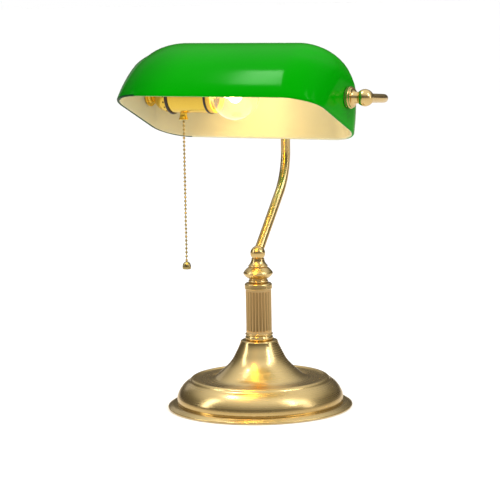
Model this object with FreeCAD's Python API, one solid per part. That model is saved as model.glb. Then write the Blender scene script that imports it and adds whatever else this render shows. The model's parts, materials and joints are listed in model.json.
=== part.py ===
import FreeCAD, Part
import os
from math import acos, cos, pi, radians, sin, sqrt, tan

# Banker desk lamp: a spun brass foot on a cast weight, a fluted column, a leaning
# arm that carries a U-shaped yoke, and a cased-glass shade that tilts between the
# yoke's two ends around a pull-chain bulb socket.
#
# Millimetres.  Origin: centre of the felt pad's underside.  +X runs along the shade
# towards the end without the socket, -Y is the front, +Z is up.

V = FreeCAD.Vector
X_AXIS = V(1, 0, 0)
Y_AXIS = V(0, 1, 0)
Z_AXIS = V(0, 0, 1)

# ---------------------------------------------------------------- driving dimensions
# Foot
base_r = 93.9            # widest part of the rolled lip
base_sheet = 1.2         # thickness of the spun brass
lip_bottom = 0.7         # the lip stops this far above the table
lip_top = 2.7            # where the rolled lip turns into the sloping flange
flange_top = 5.4         # height where the flange meets the dome
flange_crown = 0.9       # how much the sloping flange bulges
flange_wide = 9.3        # from the lip in to the dome
dome_draw = 15.6         # from the dome in to the bead round the dished top
ledge_z = 30.7           # top of that bead
dish_in = 11.0           # from the bead in to the lowest ring of the dished top
dish_z = 29.2
shoulder_r = 19.0        # top of the trumpet
base_top = 68.8          # seat for the column's foot
felt_margin = 4.9        # felt stops this far inside the lip
felt_thick = 1.6
plate_thick = 1.2
weight_margin = 10.6     # weight stops this far inside the dome
weight_thick = 18.0
nut_pocket_r = 15.0
nut_pocket_deep = 11.0
cord_slot = 12.0         # radial slot in the weight for the lead
gland_bore_r = 3.2       # passes a 6 mm lead
gland_r = 4.6            # body of the bushing through the dome
gland_flange_r = 5.8
gland_z = 15.5
gland_proud = 3.0        # how far the bushing's head stands out of the dome

# Lamp pipe and column
pipe_r = 4.9             # 1/8 IP lamp pipe
pipe_bore_r = 3.2
pipe_fit = 0.10          # clearance of the turned pieces on the pipe
foot_collar_r = 14.2
foot_collar_tall = 7.0
column_r = 13.0
column_tall = 45.3
flutes = 24
flute_r = 1.35
flute_margin = 2.0       # plain band left at each end of the flutes
cap_r = 13.9
cap_tall = 6.2
knop_r = 15.0            # lens-shaped swelling above the cap
knop_neck_r = 8.9
knop_tall = 16.3
bell_r = 9.8
bell_top_r = 6.5
bell_tall = 8.6
ball_r = 7.6             # ball that turns the column into the leaning arm
spigot_long = 7.0

# Arm and yoke
arm_r = 4.8
arm_wall = 1.1
arm_lean = 42.2          # degrees from upright
arm_bend_r = 65.0
arm_inset = 2.5          # the arm starts this far from its ball's centre
yoke_r = 4.3
yoke_wall = 1.0
yoke_leg = 33.8          # straight run behind each knuckle
yoke_bend_r = 57.0
yoke_pitch = 4.0         # degrees; the yoke falls towards its back bar
hub_r = 7.0
hub_half = 14.0          # half length of the sleeve on the yoke's back bar
hub_drop = 20.0          # how far the arm's socket hangs below the back bar
tube_fit = 0.10          # clearance of a tube in its socket
knuckle_ball_r = 8.4
leg_gap = 0.55           # a leg starts this far behind the nipple's side
nipple_inset = 2.0       # a nipple stops this far short of the knuckle's centre
wire_r = 2.4             # passage for the lamp wires

# Tilt axis of the shade
pivot_y = -23.1
pivot_z = 317.1
shade_tilt = 22.9        # degrees, front edge up

# Shade, in its own frame: rim plane at z = 0, rim centre at the origin
shade_long = 225.0
shade_deep = 129.4
shade_tall = 78.5
glass_wall = 3.5
end_flat = 40.0          # the end walls stand upright up to here
end_draw = 56.0          # then each draws in by this much at the crown
corner_r = 32.8          # corner radius at the rim
corner_grow = 0.22       # and its growth per millimetre of height
crown_lean = 10.0        # crown's offset to the rear
pivot_back = 12.6        # pivot hole behind the rim's centre
pivot_up = 26.9          # pivot hole above the rim
hole_room = 1.75         # hole through the glass, beyond the nipple
spot_deep = 0.2          # ground flat round each hole
spot_r = 11.6

# Stack of pieces on each nipple, from the glass outwards
nipple_r = 4.85
nipple_bore_r = 3.0
running_fit = 0.05       # grommets turn on the nipples
seat_gap = 0.05          # side play between turning and fixed faces
fibre_lap = 3.4          # fibre washers, beyond the hole
fibre_thick = 1.0
grommet_fit = 0.2        # grommet sleeve in the glass
flange_r = 10.8
flange_thick = 2.9
flange_step_r = 9.8
flange_step = 2.1
neck_wall = 0.85         # brass round the nipple at the flange's neck
flange_long = 10.97      # from the glass side to the knuckle
lock_nut_r = 11.0
lock_nut_thick = 2.0
lock_hub_wall = 2.15
lock_hub_long = 2.9

# Socket: lengths along X, radii about the tilt axis
socket_gap = 0.25        # between the left lock nut and the cap's hub
cap_hub_wall = 1.45
cap_hub_long = 2.6
cap_long = 22.5          # whole cap, up to the joint with the shell
shell_long = 43.0
collar_long = 6.5        # insulating collar past the shell
shell_r = 17.2
shell_wall = 0.8
liner_gap = 0.15
liner_wall = 0.7
split_ring_proud = 1.6
split_ring_wide = 3.0
mouth_ring_proud = 0.7
mouth_ring_wide = 2.6
mouth_wall = 2.6         # collar, from the shell's outside to the bulb's way in
vents = 18
vent_r = 0.95
vent_back = 3.6          # ring of vents behind the joint
switch_behind = 3.5      # switch block reaches this far behind the joint
switch_long = 24.0
switch_fit = 0.25        # switch block inside the card liner
screw_r = 13.05          # crest radius of the bulb's thread, E27 = 26.1 mm
thread_pitch = 3.6
thread_deep = 0.75
screw_fit = 0.25
screw_wall = 0.45

# Pull chain and switch
chain_ahead = 10.9       # chain's line ahead of the joint between cap and shell
nozzle_hang = 6.8        # mouth of the spout below the shell
nozzle_r = 5.0
nozzle_wall = 1.1
nozzle_room = 0.95       # round a bead in the spout
bead_r = 1.35
bead_pitch = 4.02
link_r = 0.45
link_end = 0.45          # bare wire past a bead, where the hanging run is joined on
beads_inside = 6
beads_hanging = 36
drum_pitch_r = 5.0       # chain line to drum axle
drum_core_r = 3.2
drum_flange_r = 6.0
drum_groove = 4.2
drum_flange = 1.0
axle_r = 1.2
axle_front = -9.5
axle_back = 12.5
spring_wire_r = 0.3
spring_r = 2.3
spring_turns = 4
knob_r = 4.4
knob_tall = 7.8

# Bulb
bulb_ahead = 1.7         # tip of the bulb's contact in front of the switch block
bulb_long = 47.8         # contact to the globe's centre
globe_r = 24.0
bulb_neck_r = 12.7
bulb_glass = 0.6
bulb_cap_long = 23.8     # contact to the open end of the metal cap
filament_r = 9.0
filament_drop = 2.5

# ---------------------------------------------------------------- worked-out places
dome_r = base_r - flange_wide
ledge_r = dome_r - dome_draw
dish_r = ledge_r - dish_in
glass_out = shade_long / 2 - spot_deep
glass_in = shade_long / 2 - glass_wall + spot_deep
hole_r = nipple_r + hole_room
fibre_r = hole_r + fibre_lap
neck_r = nipple_r + neck_wall
leg_inset = nipple_r + leg_gap
lock_hub_r = nipple_r + lock_hub_wall
cap_hub_r = nipple_r + cap_hub_wall
fibre_out = glass_out + fibre_thick
fibre_in = glass_in - fibre_thick
flange_in = fibre_out + seat_gap
lock_out = fibre_in - seat_gap
lock_in = lock_out - lock_nut_thick - lock_hub_long
ball_flat = flange_in + flange_long
knuckle_x = ball_flat + sqrt(knuckle_ball_r ** 2 - neck_r ** 2)
split_ring_r = shell_r + split_ring_proud
mouth_ring_r = shell_r + mouth_ring_proud
mouth_bore_r = shell_r - mouth_wall
switch_r = shell_r - shell_wall - liner_gap - liner_wall - switch_fit
nozzle_mouth = shell_r + nozzle_hang
nozzle_bore_r = bead_r + nozzle_room
nozzle_neck_r = nozzle_bore_r + nozzle_wall
socket_back = socket_gap - lock_in
socket_split = socket_back + cap_long
shell_end = socket_split + shell_long
socket_mouth = shell_end + collar_long
vent_x = socket_split - vent_back
switch_back = socket_split - switch_behind
switch_front = switch_back + switch_long
bulb_base = switch_front + bulb_ahead
bulb_skirt = bulb_base + bulb_cap_long
bulb_x = bulb_base + bulb_long
chain_x = socket_split + chain_ahead
yoke_deep = yoke_leg + yoke_bend_r
yoke_y = pivot_y + yoke_deep * cos(radians(yoke_pitch))
yoke_z = pivot_z - yoke_deep * sin(radians(yoke_pitch))
column_foot = base_top + foot_collar_tall
column_top = column_foot + column_tall
cap_top = column_top + cap_tall
knop_top = cap_top + knop_tall
bell_top = knop_top + bell_tall
ball_z = bell_top + sqrt(ball_r ** 2 - (bell_top_r - 1.0) ** 2)
plate_top = felt_thick + plate_thick
drum_x = chain_x - drum_pitch_r
spring_pitch = 2 * spring_wire_r + 0.35


# ---------------------------------------------------------------- helpers
def outline(start, *steps):
    """Closed face in the XZ plane: a step of one point is a line, of two an arc through the first."""
    edges = []
    here = V(start[0], 0, start[1])
    for step in steps + ((start,),):
        there = V(step[-1][0], 0, step[-1][1])
        if len(step) == 2:
            edges.append(Part.Arc(here, V(step[0][0], 0, step[0][1]), there).toShape())
        elif here.distanceToPoint(there) > 1e-6:
            edges.append(Part.LineSegment(here, there).toShape())
        here = there
    return Part.Face(Part.Wire(edges))


def turned(face):
    """Solid of revolution about +Z from a face drawn as (radius, height)."""
    return face.revolve(V(0, 0, 0), Z_AXIS, 360)


def on_tilt_axis(shape):
    """Lay a shape turned about +Z along the tilt axis, so that its height runs along +X."""
    shape.rotate(V(0, 0, 0), Y_AXIS, 90)
    shape.translate(V(0, pivot_y, pivot_z))
    return shape


def turned_x(start, *steps):
    """Turned piece on the tilt axis from points given as (x, radius)."""
    swap = [tuple((r, x) for x, r in step) for step in steps]
    return on_tilt_axis(turned(outline((start[1], start[0]), *swap)))


def ring_x(x_low, x_high, r_out, r_in):
    """Plain ring on the tilt axis."""
    return turned_x((x_low, r_in), ((x_high, r_in),), ((x_high, r_out),), ((x_low, r_out),))


def rod(r, start, end):
    """Cylinder between two points."""
    run = end - start
    return Part.makeCylinder(r, run.Length, start, run)


def both_ends(shape):
    """A shape at the +X end of the shade and its mirror image at the -X end."""
    return shape, shape.mirror(V(0, 0, 0), X_AXIS)


def pitched(shape):
    """Turn a shape about the tilt axis into the yoke's falling plane."""
    shape.rotate(V(0, pivot_y, pivot_z), X_AXIS, -yoke_pitch)
    return shape


def pipe_along(edges, r, wall):
    """Hollow round tube along a tangent path."""
    path = Part.Wire(edges)
    start = edges[0].valueAt(edges[0].FirstParameter)
    way = edges[0].tangentAt(edges[0].FirstParameter)
    solids = []
    for radius in (r, r - wall):
        section = Part.Wire(Part.makeCircle(radius, start, way))
        solids.append(path.makePipeShell([section], True, True))
    return solids[0].cut(solids[1])


# ---------------------------------------------------------------- foot
def base_profile(drop):
    """Outline of the foot as (radius, height); drop moves it in and down for the inside."""
    trumpet = Part.BSplineCurve()
    trumpet.interpolate(
        Points=[
            V(shoulder_r - drop, 0, base_top - 1.8 - drop),
            V(shoulder_r + 3.8 - drop, 0, base_top - 10.8 - drop),
            V(shoulder_r + 9.7 - drop, 0, base_top - 21.5 - drop),
            V(shoulder_r + 19.0 - drop, 0, dish_z + 8.6 - drop),
            V(dish_r - drop, 0, dish_z - drop),
        ],
        InitialTangent=V(1.2, 0, -4.5),
        FinalTangent=V(6.0, 0, 0.1),
    )
    lip_mid = (lip_bottom + lip_top) / 2
    rim = [
        ((base_r - 0.6, lip_bottom),),
        ((base_r, lip_mid), (base_r - 0.9, lip_top)),
        (((base_r + dome_r) / 2 - 0.4, (lip_top + flange_top) / 2 + flange_crown), (dome_r - 0.4, flange_top)),
        ((dome_r, flange_top + 3.2), (dome_r - 0.5, flange_top + 7.6)),
        ((dome_r - 5.2, flange_top + 16.2), (ledge_r + 2.3, ledge_z - 2.6)),
        ((ledge_r + 1.5, ledge_z - 1.3), (ledge_r, ledge_z - 0.2)),
        ((ledge_r - 1.6, ledge_z + 0.1), (ledge_r - 3.4, ledge_z - 0.9)),
        ((dish_r, dish_z),),
    ]
    here = V(0, 0, lip_bottom - drop)
    edges = []
    for step in rim:
        there = V(step[-1][0] - drop, 0, step[-1][1] - drop)
        if len(step) == 2:
            edges.append(Part.Arc(here, V(step[0][0] - drop, 0, step[0][1] - drop), there).toShape())
        else:
            edges.append(Part.LineSegment(here, there).toShape())
        here = there
    edges.append(trumpet.toShape())
    brow = V(shoulder_r - 0.6 - drop, 0, base_top - 0.5 - drop)
    brow_end = V(shoulder_r - 2.0 - drop, 0, base_top - drop)
    edges.append(Part.Arc(V(shoulder_r - drop, 0, base_top - 1.8 - drop), brow, brow_end).toShape())
    edges.append(Part.LineSegment(brow_end, V(0, 0, base_top - drop)).toShape())
    edges.append(Part.LineSegment(V(0, 0, base_top - drop), V(0, 0, lip_bottom - drop)).toShape())
    return Part.Face(Part.Wire(Part.__sortEdges__(edges)))


def base_cover():
    shell = turned(base_profile(0)).cut(turned(base_profile(base_sheet)))
    pipe_hole = rod(pipe_r + pipe_fit, V(0, 0, base_top - 5), V(0, 0, base_top + 5))
    gland_hole = rod(gland_r + 0.1, V(0, dome_r - 20, gland_z), V(0, dome_r + 20, gland_z))
    return shell.cut(pipe_hole).cut(gland_hole)


def felt_pad():
    return Part.makeCylinder(base_r - felt_margin, felt_thick)


def base_plate():
    slope = (base_r - 0.9 - (dome_r - 0.4)) / (flange_top - lip_top)
    plate_r = base_r - 0.9 - base_sheet - slope * (plate_top + base_sheet - lip_top) - 0.2
    disc = Part.makeCylinder(plate_r, plate_thick, V(0, 0, felt_thick))
    return disc.cut(Part.makeCylinder(nut_pocket_r, plate_thick, V(0, 0, felt_thick)))


def base_weight():
    top = plate_top + weight_thick
    weight_r = dome_r - weight_margin
    body = turned(outline(
        (pipe_r + pipe_fit, plate_top + nut_pocket_deep), ((nut_pocket_r, plate_top + nut_pocket_deep),),
        ((nut_pocket_r, plate_top),), ((weight_r, plate_top),), ((weight_r, top - 9),),
        ((weight_r - 2.5, top - 3), (weight_r - 9, top)),
        ((pipe_r + pipe_fit, top),)))
    slot = Part.makeBox(cord_slot, weight_r, weight_thick, V(-cord_slot / 2, nut_pocket_r - 3, plate_top))
    return body.cut(slot)


def base_washer():
    top = plate_top + nut_pocket_deep
    washer = Part.makeCylinder(11.0, 1.6, V(0, 0, top - 1.6))
    return washer.cut(Part.makeCylinder(pipe_r + pipe_fit, 1.6, V(0, 0, top - 1.6)))


def base_nut():
    top = plate_top + nut_pocket_deep - 1.6
    corners = [V(9.2 * cos(i * pi / 3), 9.2 * sin(i * pi / 3), top - 5) for i in range(7)]
    hexagon = Part.Face(Part.makePolygon(corners)).extrude(V(0, 0, 5))
    return hexagon.cut(Part.makeCylinder(pipe_r + pipe_fit, 5, V(0, 0, top - 5)))


def cord_gland():
    """Bushing through the rear of the dome, with a head outside and a snap ring inside."""
    wall = sqrt(dome_r ** 2 - gland_flange_r ** 2)
    head = wall + gland_proud
    tail = wall - base_sheet - 3.4
    body = turned(outline(
        (gland_bore_r, tail), ((gland_r, tail),), ((gland_r, wall + 0.6),),
        ((gland_flange_r, wall + 0.6),), ((gland_flange_r, head - 1.0),),
        ((gland_flange_r - 0.3, head - 0.3), (gland_flange_r - 1.0, head)),
        ((gland_bore_r, head),)))
    body.rotate(V(0, 0, 0), X_AXIS, -90)
    body.translate(V(0, 0, gland_z))
    return body


# ---------------------------------------------------------------- column
def tie_rod():
    low = plate_top + 1.0
    high = bell_top - spigot_long - 0.5
    return rod(pipe_r, V(0, 0, low), V(0, 0, high)).cut(rod(pipe_bore_r, V(0, 0, low), V(0, 0, high)))


def on_pipe(*points):
    """Turned piece that slides on the lamp pipe, from its outer points upwards."""
    bore = pipe_r + pipe_fit
    last = points[-1][-1]
    return turned(outline((bore, points[0][0][1]), *points, ((bore, last[1]),)))


def foot_collar():
    z = base_top
    r = foot_collar_r
    return on_pipe(
        ((r - 1.2, z),), ((r, z + 2.3), (r - 1.0, z + 4.4)), ((r - 1.3, z + 4.8),),
        ((r - 0.4, z + 5.4),), ((r - 0.1, z + 6.1), (r - 0.7, z + foot_collar_tall)))


def fluted_column():
    column = on_pipe(((column_r, column_foot),), ((column_r, column_top),))
    low = column_foot + flute_margin + flute_r
    high = column_top - flute_margin - flute_r
    cutters = []
    for i in range(flutes):
        turn = 2 * pi * i / flutes
        x = (column_r + 0.35) * cos(turn)
        y = (column_r + 0.35) * sin(turn)
        cutters.append(rod(flute_r, V(x, y, low), V(x, y, high)))
        cutters.append(Part.makeSphere(flute_r, V(x, y, low)))
        cutters.append(Part.makeSphere(flute_r, V(x, y, high)))
    return column.cut(cutters)


def column_cap():
    z = column_top
    return on_pipe(
        ((column_r + 0.1, z),), ((cap_r - 0.1, z + 0.4), (cap_r, z + 1.2)), ((cap_r, z + cap_tall - 2.2),),
        ((cap_r - 0.6, z + cap_tall - 0.7), (cap_r - 2.2, z + cap_tall)))


def stem_knop():
    z = cap_top
    n = knop_neck_r
    edge = z + 9.9
    return on_pipe(
        ((n, z),), ((n + 1.1, z + 1.7), (n, z + 3.4)), ((n - 0.2, z + 4.1),),
        ((n + 3.5, z + 6.2), (knop_r - 0.1, edge - 0.5)), ((knop_r, edge), (knop_r - 0.1, edge + 0.5)),
        ((n + 4.0, z + 13.3), (n + 0.3, z + knop_tall)))


def stem_bell():
    z = knop_top
    return on_pipe(
        ((bell_r - 0.7, z),), ((bell_r + 0.1, z + 0.7), (bell_r - 0.1, z + 1.6)),
        ((bell_top_r + 0.9, z + 4.6), (bell_top_r, bell_top)))


def arm_way():
    """Direction of the arm's leaning run."""
    lean = radians(arm_lean)
    return V(0, sin(lean), cos(lean))


def arm_knuckle():
    centre = V(0, 0, ball_z)
    ball = Part.makeSphere(ball_r, centre)
    ball = ball.cut(Part.makeBox(40, 40, 20, V(-20, -20, bell_top - 20)))
    spigot = rod(pipe_r, V(0, 0, bell_top - spigot_long), V(0, 0, bell_top + 1))
    way = arm_way()
    socket = rod(arm_r + tube_fit, centre + way * (arm_inset - 0.2), centre + way * 30)
    passage = rod(wire_r, V(0, 0, bell_top - spigot_long - 1), centre)
    throat = rod(wire_r, centre, centre + way * 5)
    return ball.fuse(spigot).cut(socket).cut(passage).cut(throat)


# ---------------------------------------------------------------- arm and yoke
def arm_tube():
    lean = radians(arm_lean)
    way = arm_way()
    start = V(0, 0, ball_z) + way * arm_inset
    corner = V(0, yoke_y, ball_z + yoke_y / tan(lean))
    tangent = arm_bend_r * tan(lean / 2)
    bend_in = corner - way * tangent
    bend_out = corner + Z_AXIS * tangent
    centre = bend_out - Y_AXIS * arm_bend_r
    half = lean / 2
    bend_mid = centre + V(0, cos(half), -sin(half)) * arm_bend_r
    top = V(0, yoke_y, yoke_z - yoke_r - tube_fit - 1.5)
    edges = [
        Part.LineSegment(start, bend_in).toShape(),
        Part.Arc(bend_in, bend_mid, bend_out).toShape(),
        Part.LineSegment(bend_out, top).toShape(),
    ]
    return pipe_along(edges, arm_r, arm_wall)


def yoke_tube():
    z = pivot_z
    near = pivot_y + leg_inset
    turn_y = pivot_y + yoke_leg
    back_y = pivot_y + yoke_deep
    inner = knuckle_x - yoke_bend_r
    mid = yoke_bend_r / sqrt(2)
    edges = [
        Part.LineSegment(V(-knuckle_x, near, z), V(-knuckle_x, turn_y, z)).toShape(),
        Part.Arc(V(-knuckle_x, turn_y, z), V(-inner - mid, turn_y + mid, z), V(-inner, back_y, z)).toShape(),
        Part.LineSegment(V(-inner, back_y, z), V(inner, back_y, z)).toShape(),
        Part.Arc(V(inner, back_y, z), V(inner + mid, turn_y + mid, z), V(knuckle_x, turn_y, z)).toShape(),
        Part.LineSegment(V(knuckle_x, turn_y, z), V(knuckle_x, near, z)).toShape(),
    ]
    tube = pitched(pipe_along(edges, yoke_r, yoke_wall))
    return tube.cut(rod(wire_r, V(0, yoke_y, yoke_z - 10), V(0, yoke_y, yoke_z)))


def yoke_hub():
    """Sleeve on the yoke's back bar with a socket below for the arm."""
    centre = V(0, yoke_y, yoke_z)
    sleeve = rod(hub_r, centre - X_AXIS * hub_half, centre + X_AXIS * hub_half)
    boss = rod(hub_r, centre - Z_AXIS * hub_drop, centre)
    bar = rod(yoke_r + tube_fit, centre - X_AXIS * 30, centre + X_AXIS * 30)
    arm_top = centre - Z_AXIS * (yoke_r + 1.5)
    socket = rod(arm_r + tube_fit, centre - Z_AXIS * 40, arm_top)
    passage = rod(wire_r, centre - Z_AXIS * 20, centre)
    return sleeve.fuse(boss).cut([bar, socket, passage]).removeSplitter()


def knuckle():
    """Ball at the +X end of the tilt axis: nipple from the shade side, yoke leg from behind."""
    centre = V(knuckle_x, pivot_y, pivot_z)
    ball = Part.makeSphere(knuckle_ball_r, centre, X_AXIS)
    ball = ball.cut(Part.makeBox(20, 40, 40, V(ball_flat - 20, pivot_y - 20, pivot_z - 20)))
    nipple_hole = rod(nipple_r + tube_fit, centre - X_AXIS * 20, centre - X_AXIS * (nipple_inset - 0.1))
    leg_hole = pitched(rod(yoke_r + tube_fit, centre + Y_AXIS * (leg_inset - 0.1), centre + Y_AXIS * 20))
    passage = rod(wire_r, centre - X_AXIS * 4, centre)
    elbow = rod(wire_r, centre, centre + Y_AXIS * 7)
    return ball.cut([nipple_hole, leg_hole, passage, elbow])


def flange():
    """Stepped disc, cone and neck between the shade and the +X knuckle."""
    x = flange_in
    bore = nipple_r + tube_fit
    step = x + flange_thick
    cone = step + flange_step
    return turned_x(
        (x, bore), ((ball_flat, bore),), ((ball_flat, neck_r),), ((cone + 2.6, neck_r + 0.1),),
        ((cone + 1.0, neck_r + 1.2), (cone, flange_step_r - 0.8)),
        ((cone - 0.2, flange_step_r - 0.2), (cone - 0.8, flange_step_r)), ((step + 0.1, flange_step_r),),
        ((step, flange_r - 0.4),), ((step - 0.2, flange_r - 0.1), (step - 0.6, flange_r)),
        ((x + 0.5, flange_r),), ((x + 0.1, flange_r - 0.1), (x, flange_r - 0.5)))


def nipple(inner_end):
    return ring_x(inner_end, knuckle_x - nipple_inset, nipple_r, nipple_bore_r)


def grommet():
    """Fibre bushing in the +X hole of the glass: washer outside, sleeve through the glass."""
    bore = nipple_r + running_fit
    sleeve = hole_r - grommet_fit
    return turned_x(
        (glass_in, bore), ((fibre_out, bore),), ((fibre_out, fibre_r),), ((glass_out, fibre_r),),
        ((glass_out, sleeve),), ((glass_in, sleeve),))


def inner_washer():
    return ring_x(fibre_in, glass_in, fibre_r, nipple_r + running_fit)


def lock_nut():
    """Round nut inside the shade: disc against the fibre washer, hub towards the middle."""
    bore = nipple_r + tube_fit
    disc = lock_out - lock_nut_thick
    return turned_x(
        (lock_in, bore), ((lock_out, bore),), ((lock_out, lock_nut_r - 0.4),),
        ((lock_out - 0.2, lock_nut_r - 0.1), (lock_out - 0.5, lock_nut_r)), ((disc + 0.5, lock_nut_r),),
        ((disc + 0.1, lock_nut_r - 0.1), (disc, lock_nut_r - 0.5)), ((disc, lock_hub_r + 1.2),),
        ((disc - 0.4, lock_hub_r + 0.4), (disc - 1.2, lock_hub_r)), ((lock_in, lock_hub_r),))


# ---------------------------------------------------------------- shade
def shade_section(z, inset):
    """Rounded rectangle of the shade at height z; inset is the wall for the inner skin."""
    tall = shade_tall - inset
    rise = sqrt(max(0.0, 1 - (z / tall) ** 2))
    deep = (shade_deep / 2 - inset) * rise
    above = max(0.0, (z - end_flat) / (tall - end_flat))
    half = shade_long / 2 - inset - end_draw * (1 - sqrt(max(0.0, 1 - above ** 2)))
    r = min(corner_r - inset + corner_grow * z, 0.95 * deep)
    lean = crown_lean * z / tall
    a = half - r
    b = deep - r
    k = r / sqrt(2)
    edges = []
    for sx, sy, flip in ((1, 1, False), (-1, 1, True), (-1, -1, False), (1, -1, True)):
        first = V(sx * half, lean + sy * b, z)
        mid = V(sx * (a + k), lean + sy * (b + k), z)
        last = V(sx * a, lean + sy * deep, z)
        if flip:
            first, last = last, first
        edges.append(Part.Arc(first, mid, last).toShape())
    joined = []
    for i, edge in enumerate(edges):
        end = edge.valueAt(edge.LastParameter)
        after = edges[(i + 1) % 4]
        joined.append(edge)
        joined.append(Part.LineSegment(end, after.valueAt(after.FirstParameter)).toShape())
    return Part.Wire(joined)


def shade_skin(inset):
    """Solid of the shade's outside, or of its hollow when inset is the wall."""
    tall = shade_tall - inset
    sections = []
    for turn in (0, 10, 20, 30, 40, 50, 59, 67, 74, 80, 85, 88):
        sections.append(shade_section(tall * sin(radians(turn)), inset))
    return Part.makeLoft(sections, True, False)


def shade_glass():
    floor = Part.makeBox(2 * shade_long, 2 * shade_deep, 5, V(-shade_long, -shade_deep, -5))
    hollow = shade_skin(glass_wall)
    mouth = Part.Face(shade_section(0, glass_wall)).extrude(V(0, 0, -5))
    glass = shade_skin(0).cut([hollow, mouth, floor])
    pivot = V(0, pivot_back, pivot_up)
    for side in (-1, 1):
        way = X_AXIS * side
        hole = rod(hole_r, pivot + way * (glass_in - 10), pivot + way * (glass_out + 10))
        spot_out = rod(spot_r, pivot + way * glass_out, pivot + way * (glass_out + 10))
        spot_in = rod(spot_r, pivot + way * (glass_in - 10), pivot + way * glass_in)
        glass = glass.cut([hole, spot_out, spot_in])
    glass.translate(pivot * -1)
    glass.rotate(V(0, 0, 0), X_AXIS, -shade_tilt)
    glass.translate(V(0, pivot_y, pivot_z))
    return glass


# ---------------------------------------------------------------- socket
def cap_curve(shift):
    """Flared wall of the socket cap from hub to split, moved in for the inner skin."""
    hub_end = socket_back + cap_hub_long
    return (
        ((hub_end + shift, cap_hub_r + 0.9 - shift),),
        ((hub_end + 6.2 + shift, 13.6 - shift), (socket_split - 4.5 + shift, shell_r - 0.4 - shift)),
        ((socket_split, shell_r - shift),),
    )


def socket_cap():
    bore = nipple_r + tube_fit
    hub_end = socket_back + cap_hub_long
    solid = turned_x((socket_back, bore), ((socket_back, cap_hub_r),), ((hub_end, cap_hub_r),),
                     *cap_curve(0), ((socket_split, bore),))
    hollow = turned_x((hub_end + shell_wall, bore - 0.1), *cap_curve(shell_wall), ((socket_split, bore - 0.1),))
    cap = solid.cut(hollow)
    holes = []
    centre = V(vent_x, pivot_y, pivot_z)
    for i in range(vents):
        turn = 2 * pi * (i + 0.5) / vents
        way = V(0, sin(turn), cos(turn))
        holes.append(rod(vent_r, centre + way * 8, centre + way * 30))
    return cap.cut(holes)


def split_ring():
    half = split_ring_wide / 2
    inner = shell_r + 0.1
    return turned_x(
        (socket_split - half, inner), ((socket_split + half, inner),), ((socket_split + half, split_ring_r - 0.7),),
        ((socket_split, split_ring_r), (socket_split - half, split_ring_r - 0.7)))


def mouth_ring():
    half = mouth_ring_wide / 2
    inner = shell_r + 0.1
    middle = shell_end + 0.6
    low = middle - half
    return turned_x(
        (low, inner), ((middle + half, inner),), ((middle + half, mouth_ring_r - 0.4),),
        ((middle, mouth_ring_r), (low, mouth_ring_r - 0.4)))


def nozzle_hole(clearance):
    foot = V(chain_x, pivot_y, pivot_z)
    return rod(nozzle_neck_r + clearance, foot - Z_AXIS * (switch_r - 1.0), foot - Z_AXIS * 30)


def socket_shell():
    return ring_x(socket_split + 0.1, shell_end, shell_r, shell_r - shell_wall).cut(nozzle_hole(0.1))


def socket_liner():
    outer = shell_r - shell_wall - liner_gap
    return ring_x(socket_split + 0.4, shell_end - 1.0, outer, outer - liner_wall).cut(nozzle_hole(0.1))


def mouth_collar():
    """Insulating collar that closes the shell round the bulb's neck."""
    back = shell_end + 0.1
    spigot = shell_r - shell_wall - liner_gap
    return turned_x(
        (back - 0.9, mouth_bore_r), ((socket_mouth, mouth_bore_r),), ((socket_mouth, shell_r - 0.9),),
        ((socket_mouth - 0.3, shell_r - 0.4), (socket_mouth - 1.0, shell_r - 0.2)), ((back, shell_r - 0.2),),
        ((back, spigot),), ((back - 0.9, spigot),))


def switch_body():
    """Moulded block behind the bulb: pocket for the drum, bores for axle and chain."""
    block = ring_x(switch_back, switch_front, switch_r, wire_r)
    pocket = Part.makeBox(
        14.6, drum_groove + 2 * drum_flange + 9.2, 16.0,
        V(drum_x - 7.3, pivot_y - drum_groove / 2 - drum_flange - 0.5, pivot_z - 8.0))
    centre = V(drum_x, pivot_y, pivot_z)
    axle = rod(axle_r + 0.02, centre + Y_AXIS * (axle_front - 10), centre + Y_AXIS * axle_back)
    foot = V(chain_x, pivot_y, pivot_z)
    chain = rod(nozzle_bore_r, foot, foot - Z_AXIS * 30)
    return block.cut([pocket, axle, chain])


def thread_crests(x_low, x_high, crest, depth):
    """Rolled thread drawn as a row of round rings, from high x to low x."""
    count = int((x_high - x_low) / thread_pitch)
    steps = []
    for i in range(count):
        top = x_high - i * thread_pitch
        steps.append(((top - thread_pitch / 4, crest), (top - thread_pitch / 2, crest - depth / 2)))
        steps.append(((top - 3 * thread_pitch / 4, crest - depth), (top - thread_pitch, crest - depth / 2)))
    return steps


def threaded_tube(x_low, x_high, crest, wall):
    """Thin tube with rolled thread rings between plain ends."""
    plain = crest - thread_deep / 2
    rings = thread_crests(x_low + 2.0, x_high - 2.0, crest, thread_deep)
    root = crest - thread_deep
    last = rings[-1][-1][0]
    outer = [((x_high, plain),), ((x_high - 2.0, plain),), *rings, ((last - 0.5, root),), ((x_low, root),)]
    inner = []
    for step in outer:
        inner.append(tuple((x, r - wall) for x, r in step))
    solid = turned_x((x_low, 0), ((x_high, 0),), *outer)
    return solid.cut(turned_x((x_low - 1, 0), ((x_high + 1, 0),), ((x_high + 1, plain - wall),), *inner,
                              ((x_low - 1, root - wall),)))


def screw_shell():
    return threaded_tube(switch_front + 0.1, bulb_skirt, screw_r + screw_fit + screw_wall, screw_wall)


def contact_leaf():
    """Springy brass tongue in front of the switch block."""
    leaf = Part.makeBox(0.5, 6, 13, V(bulb_base - 0.7, pivot_y - 3, pivot_z - 7))
    foot = Part.makeBox(bulb_base - 0.7 - switch_front, 6, 1.0, V(switch_front, pivot_y - 3, pivot_z - 7))
    return leaf.fuse(foot).removeSplitter()


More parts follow.
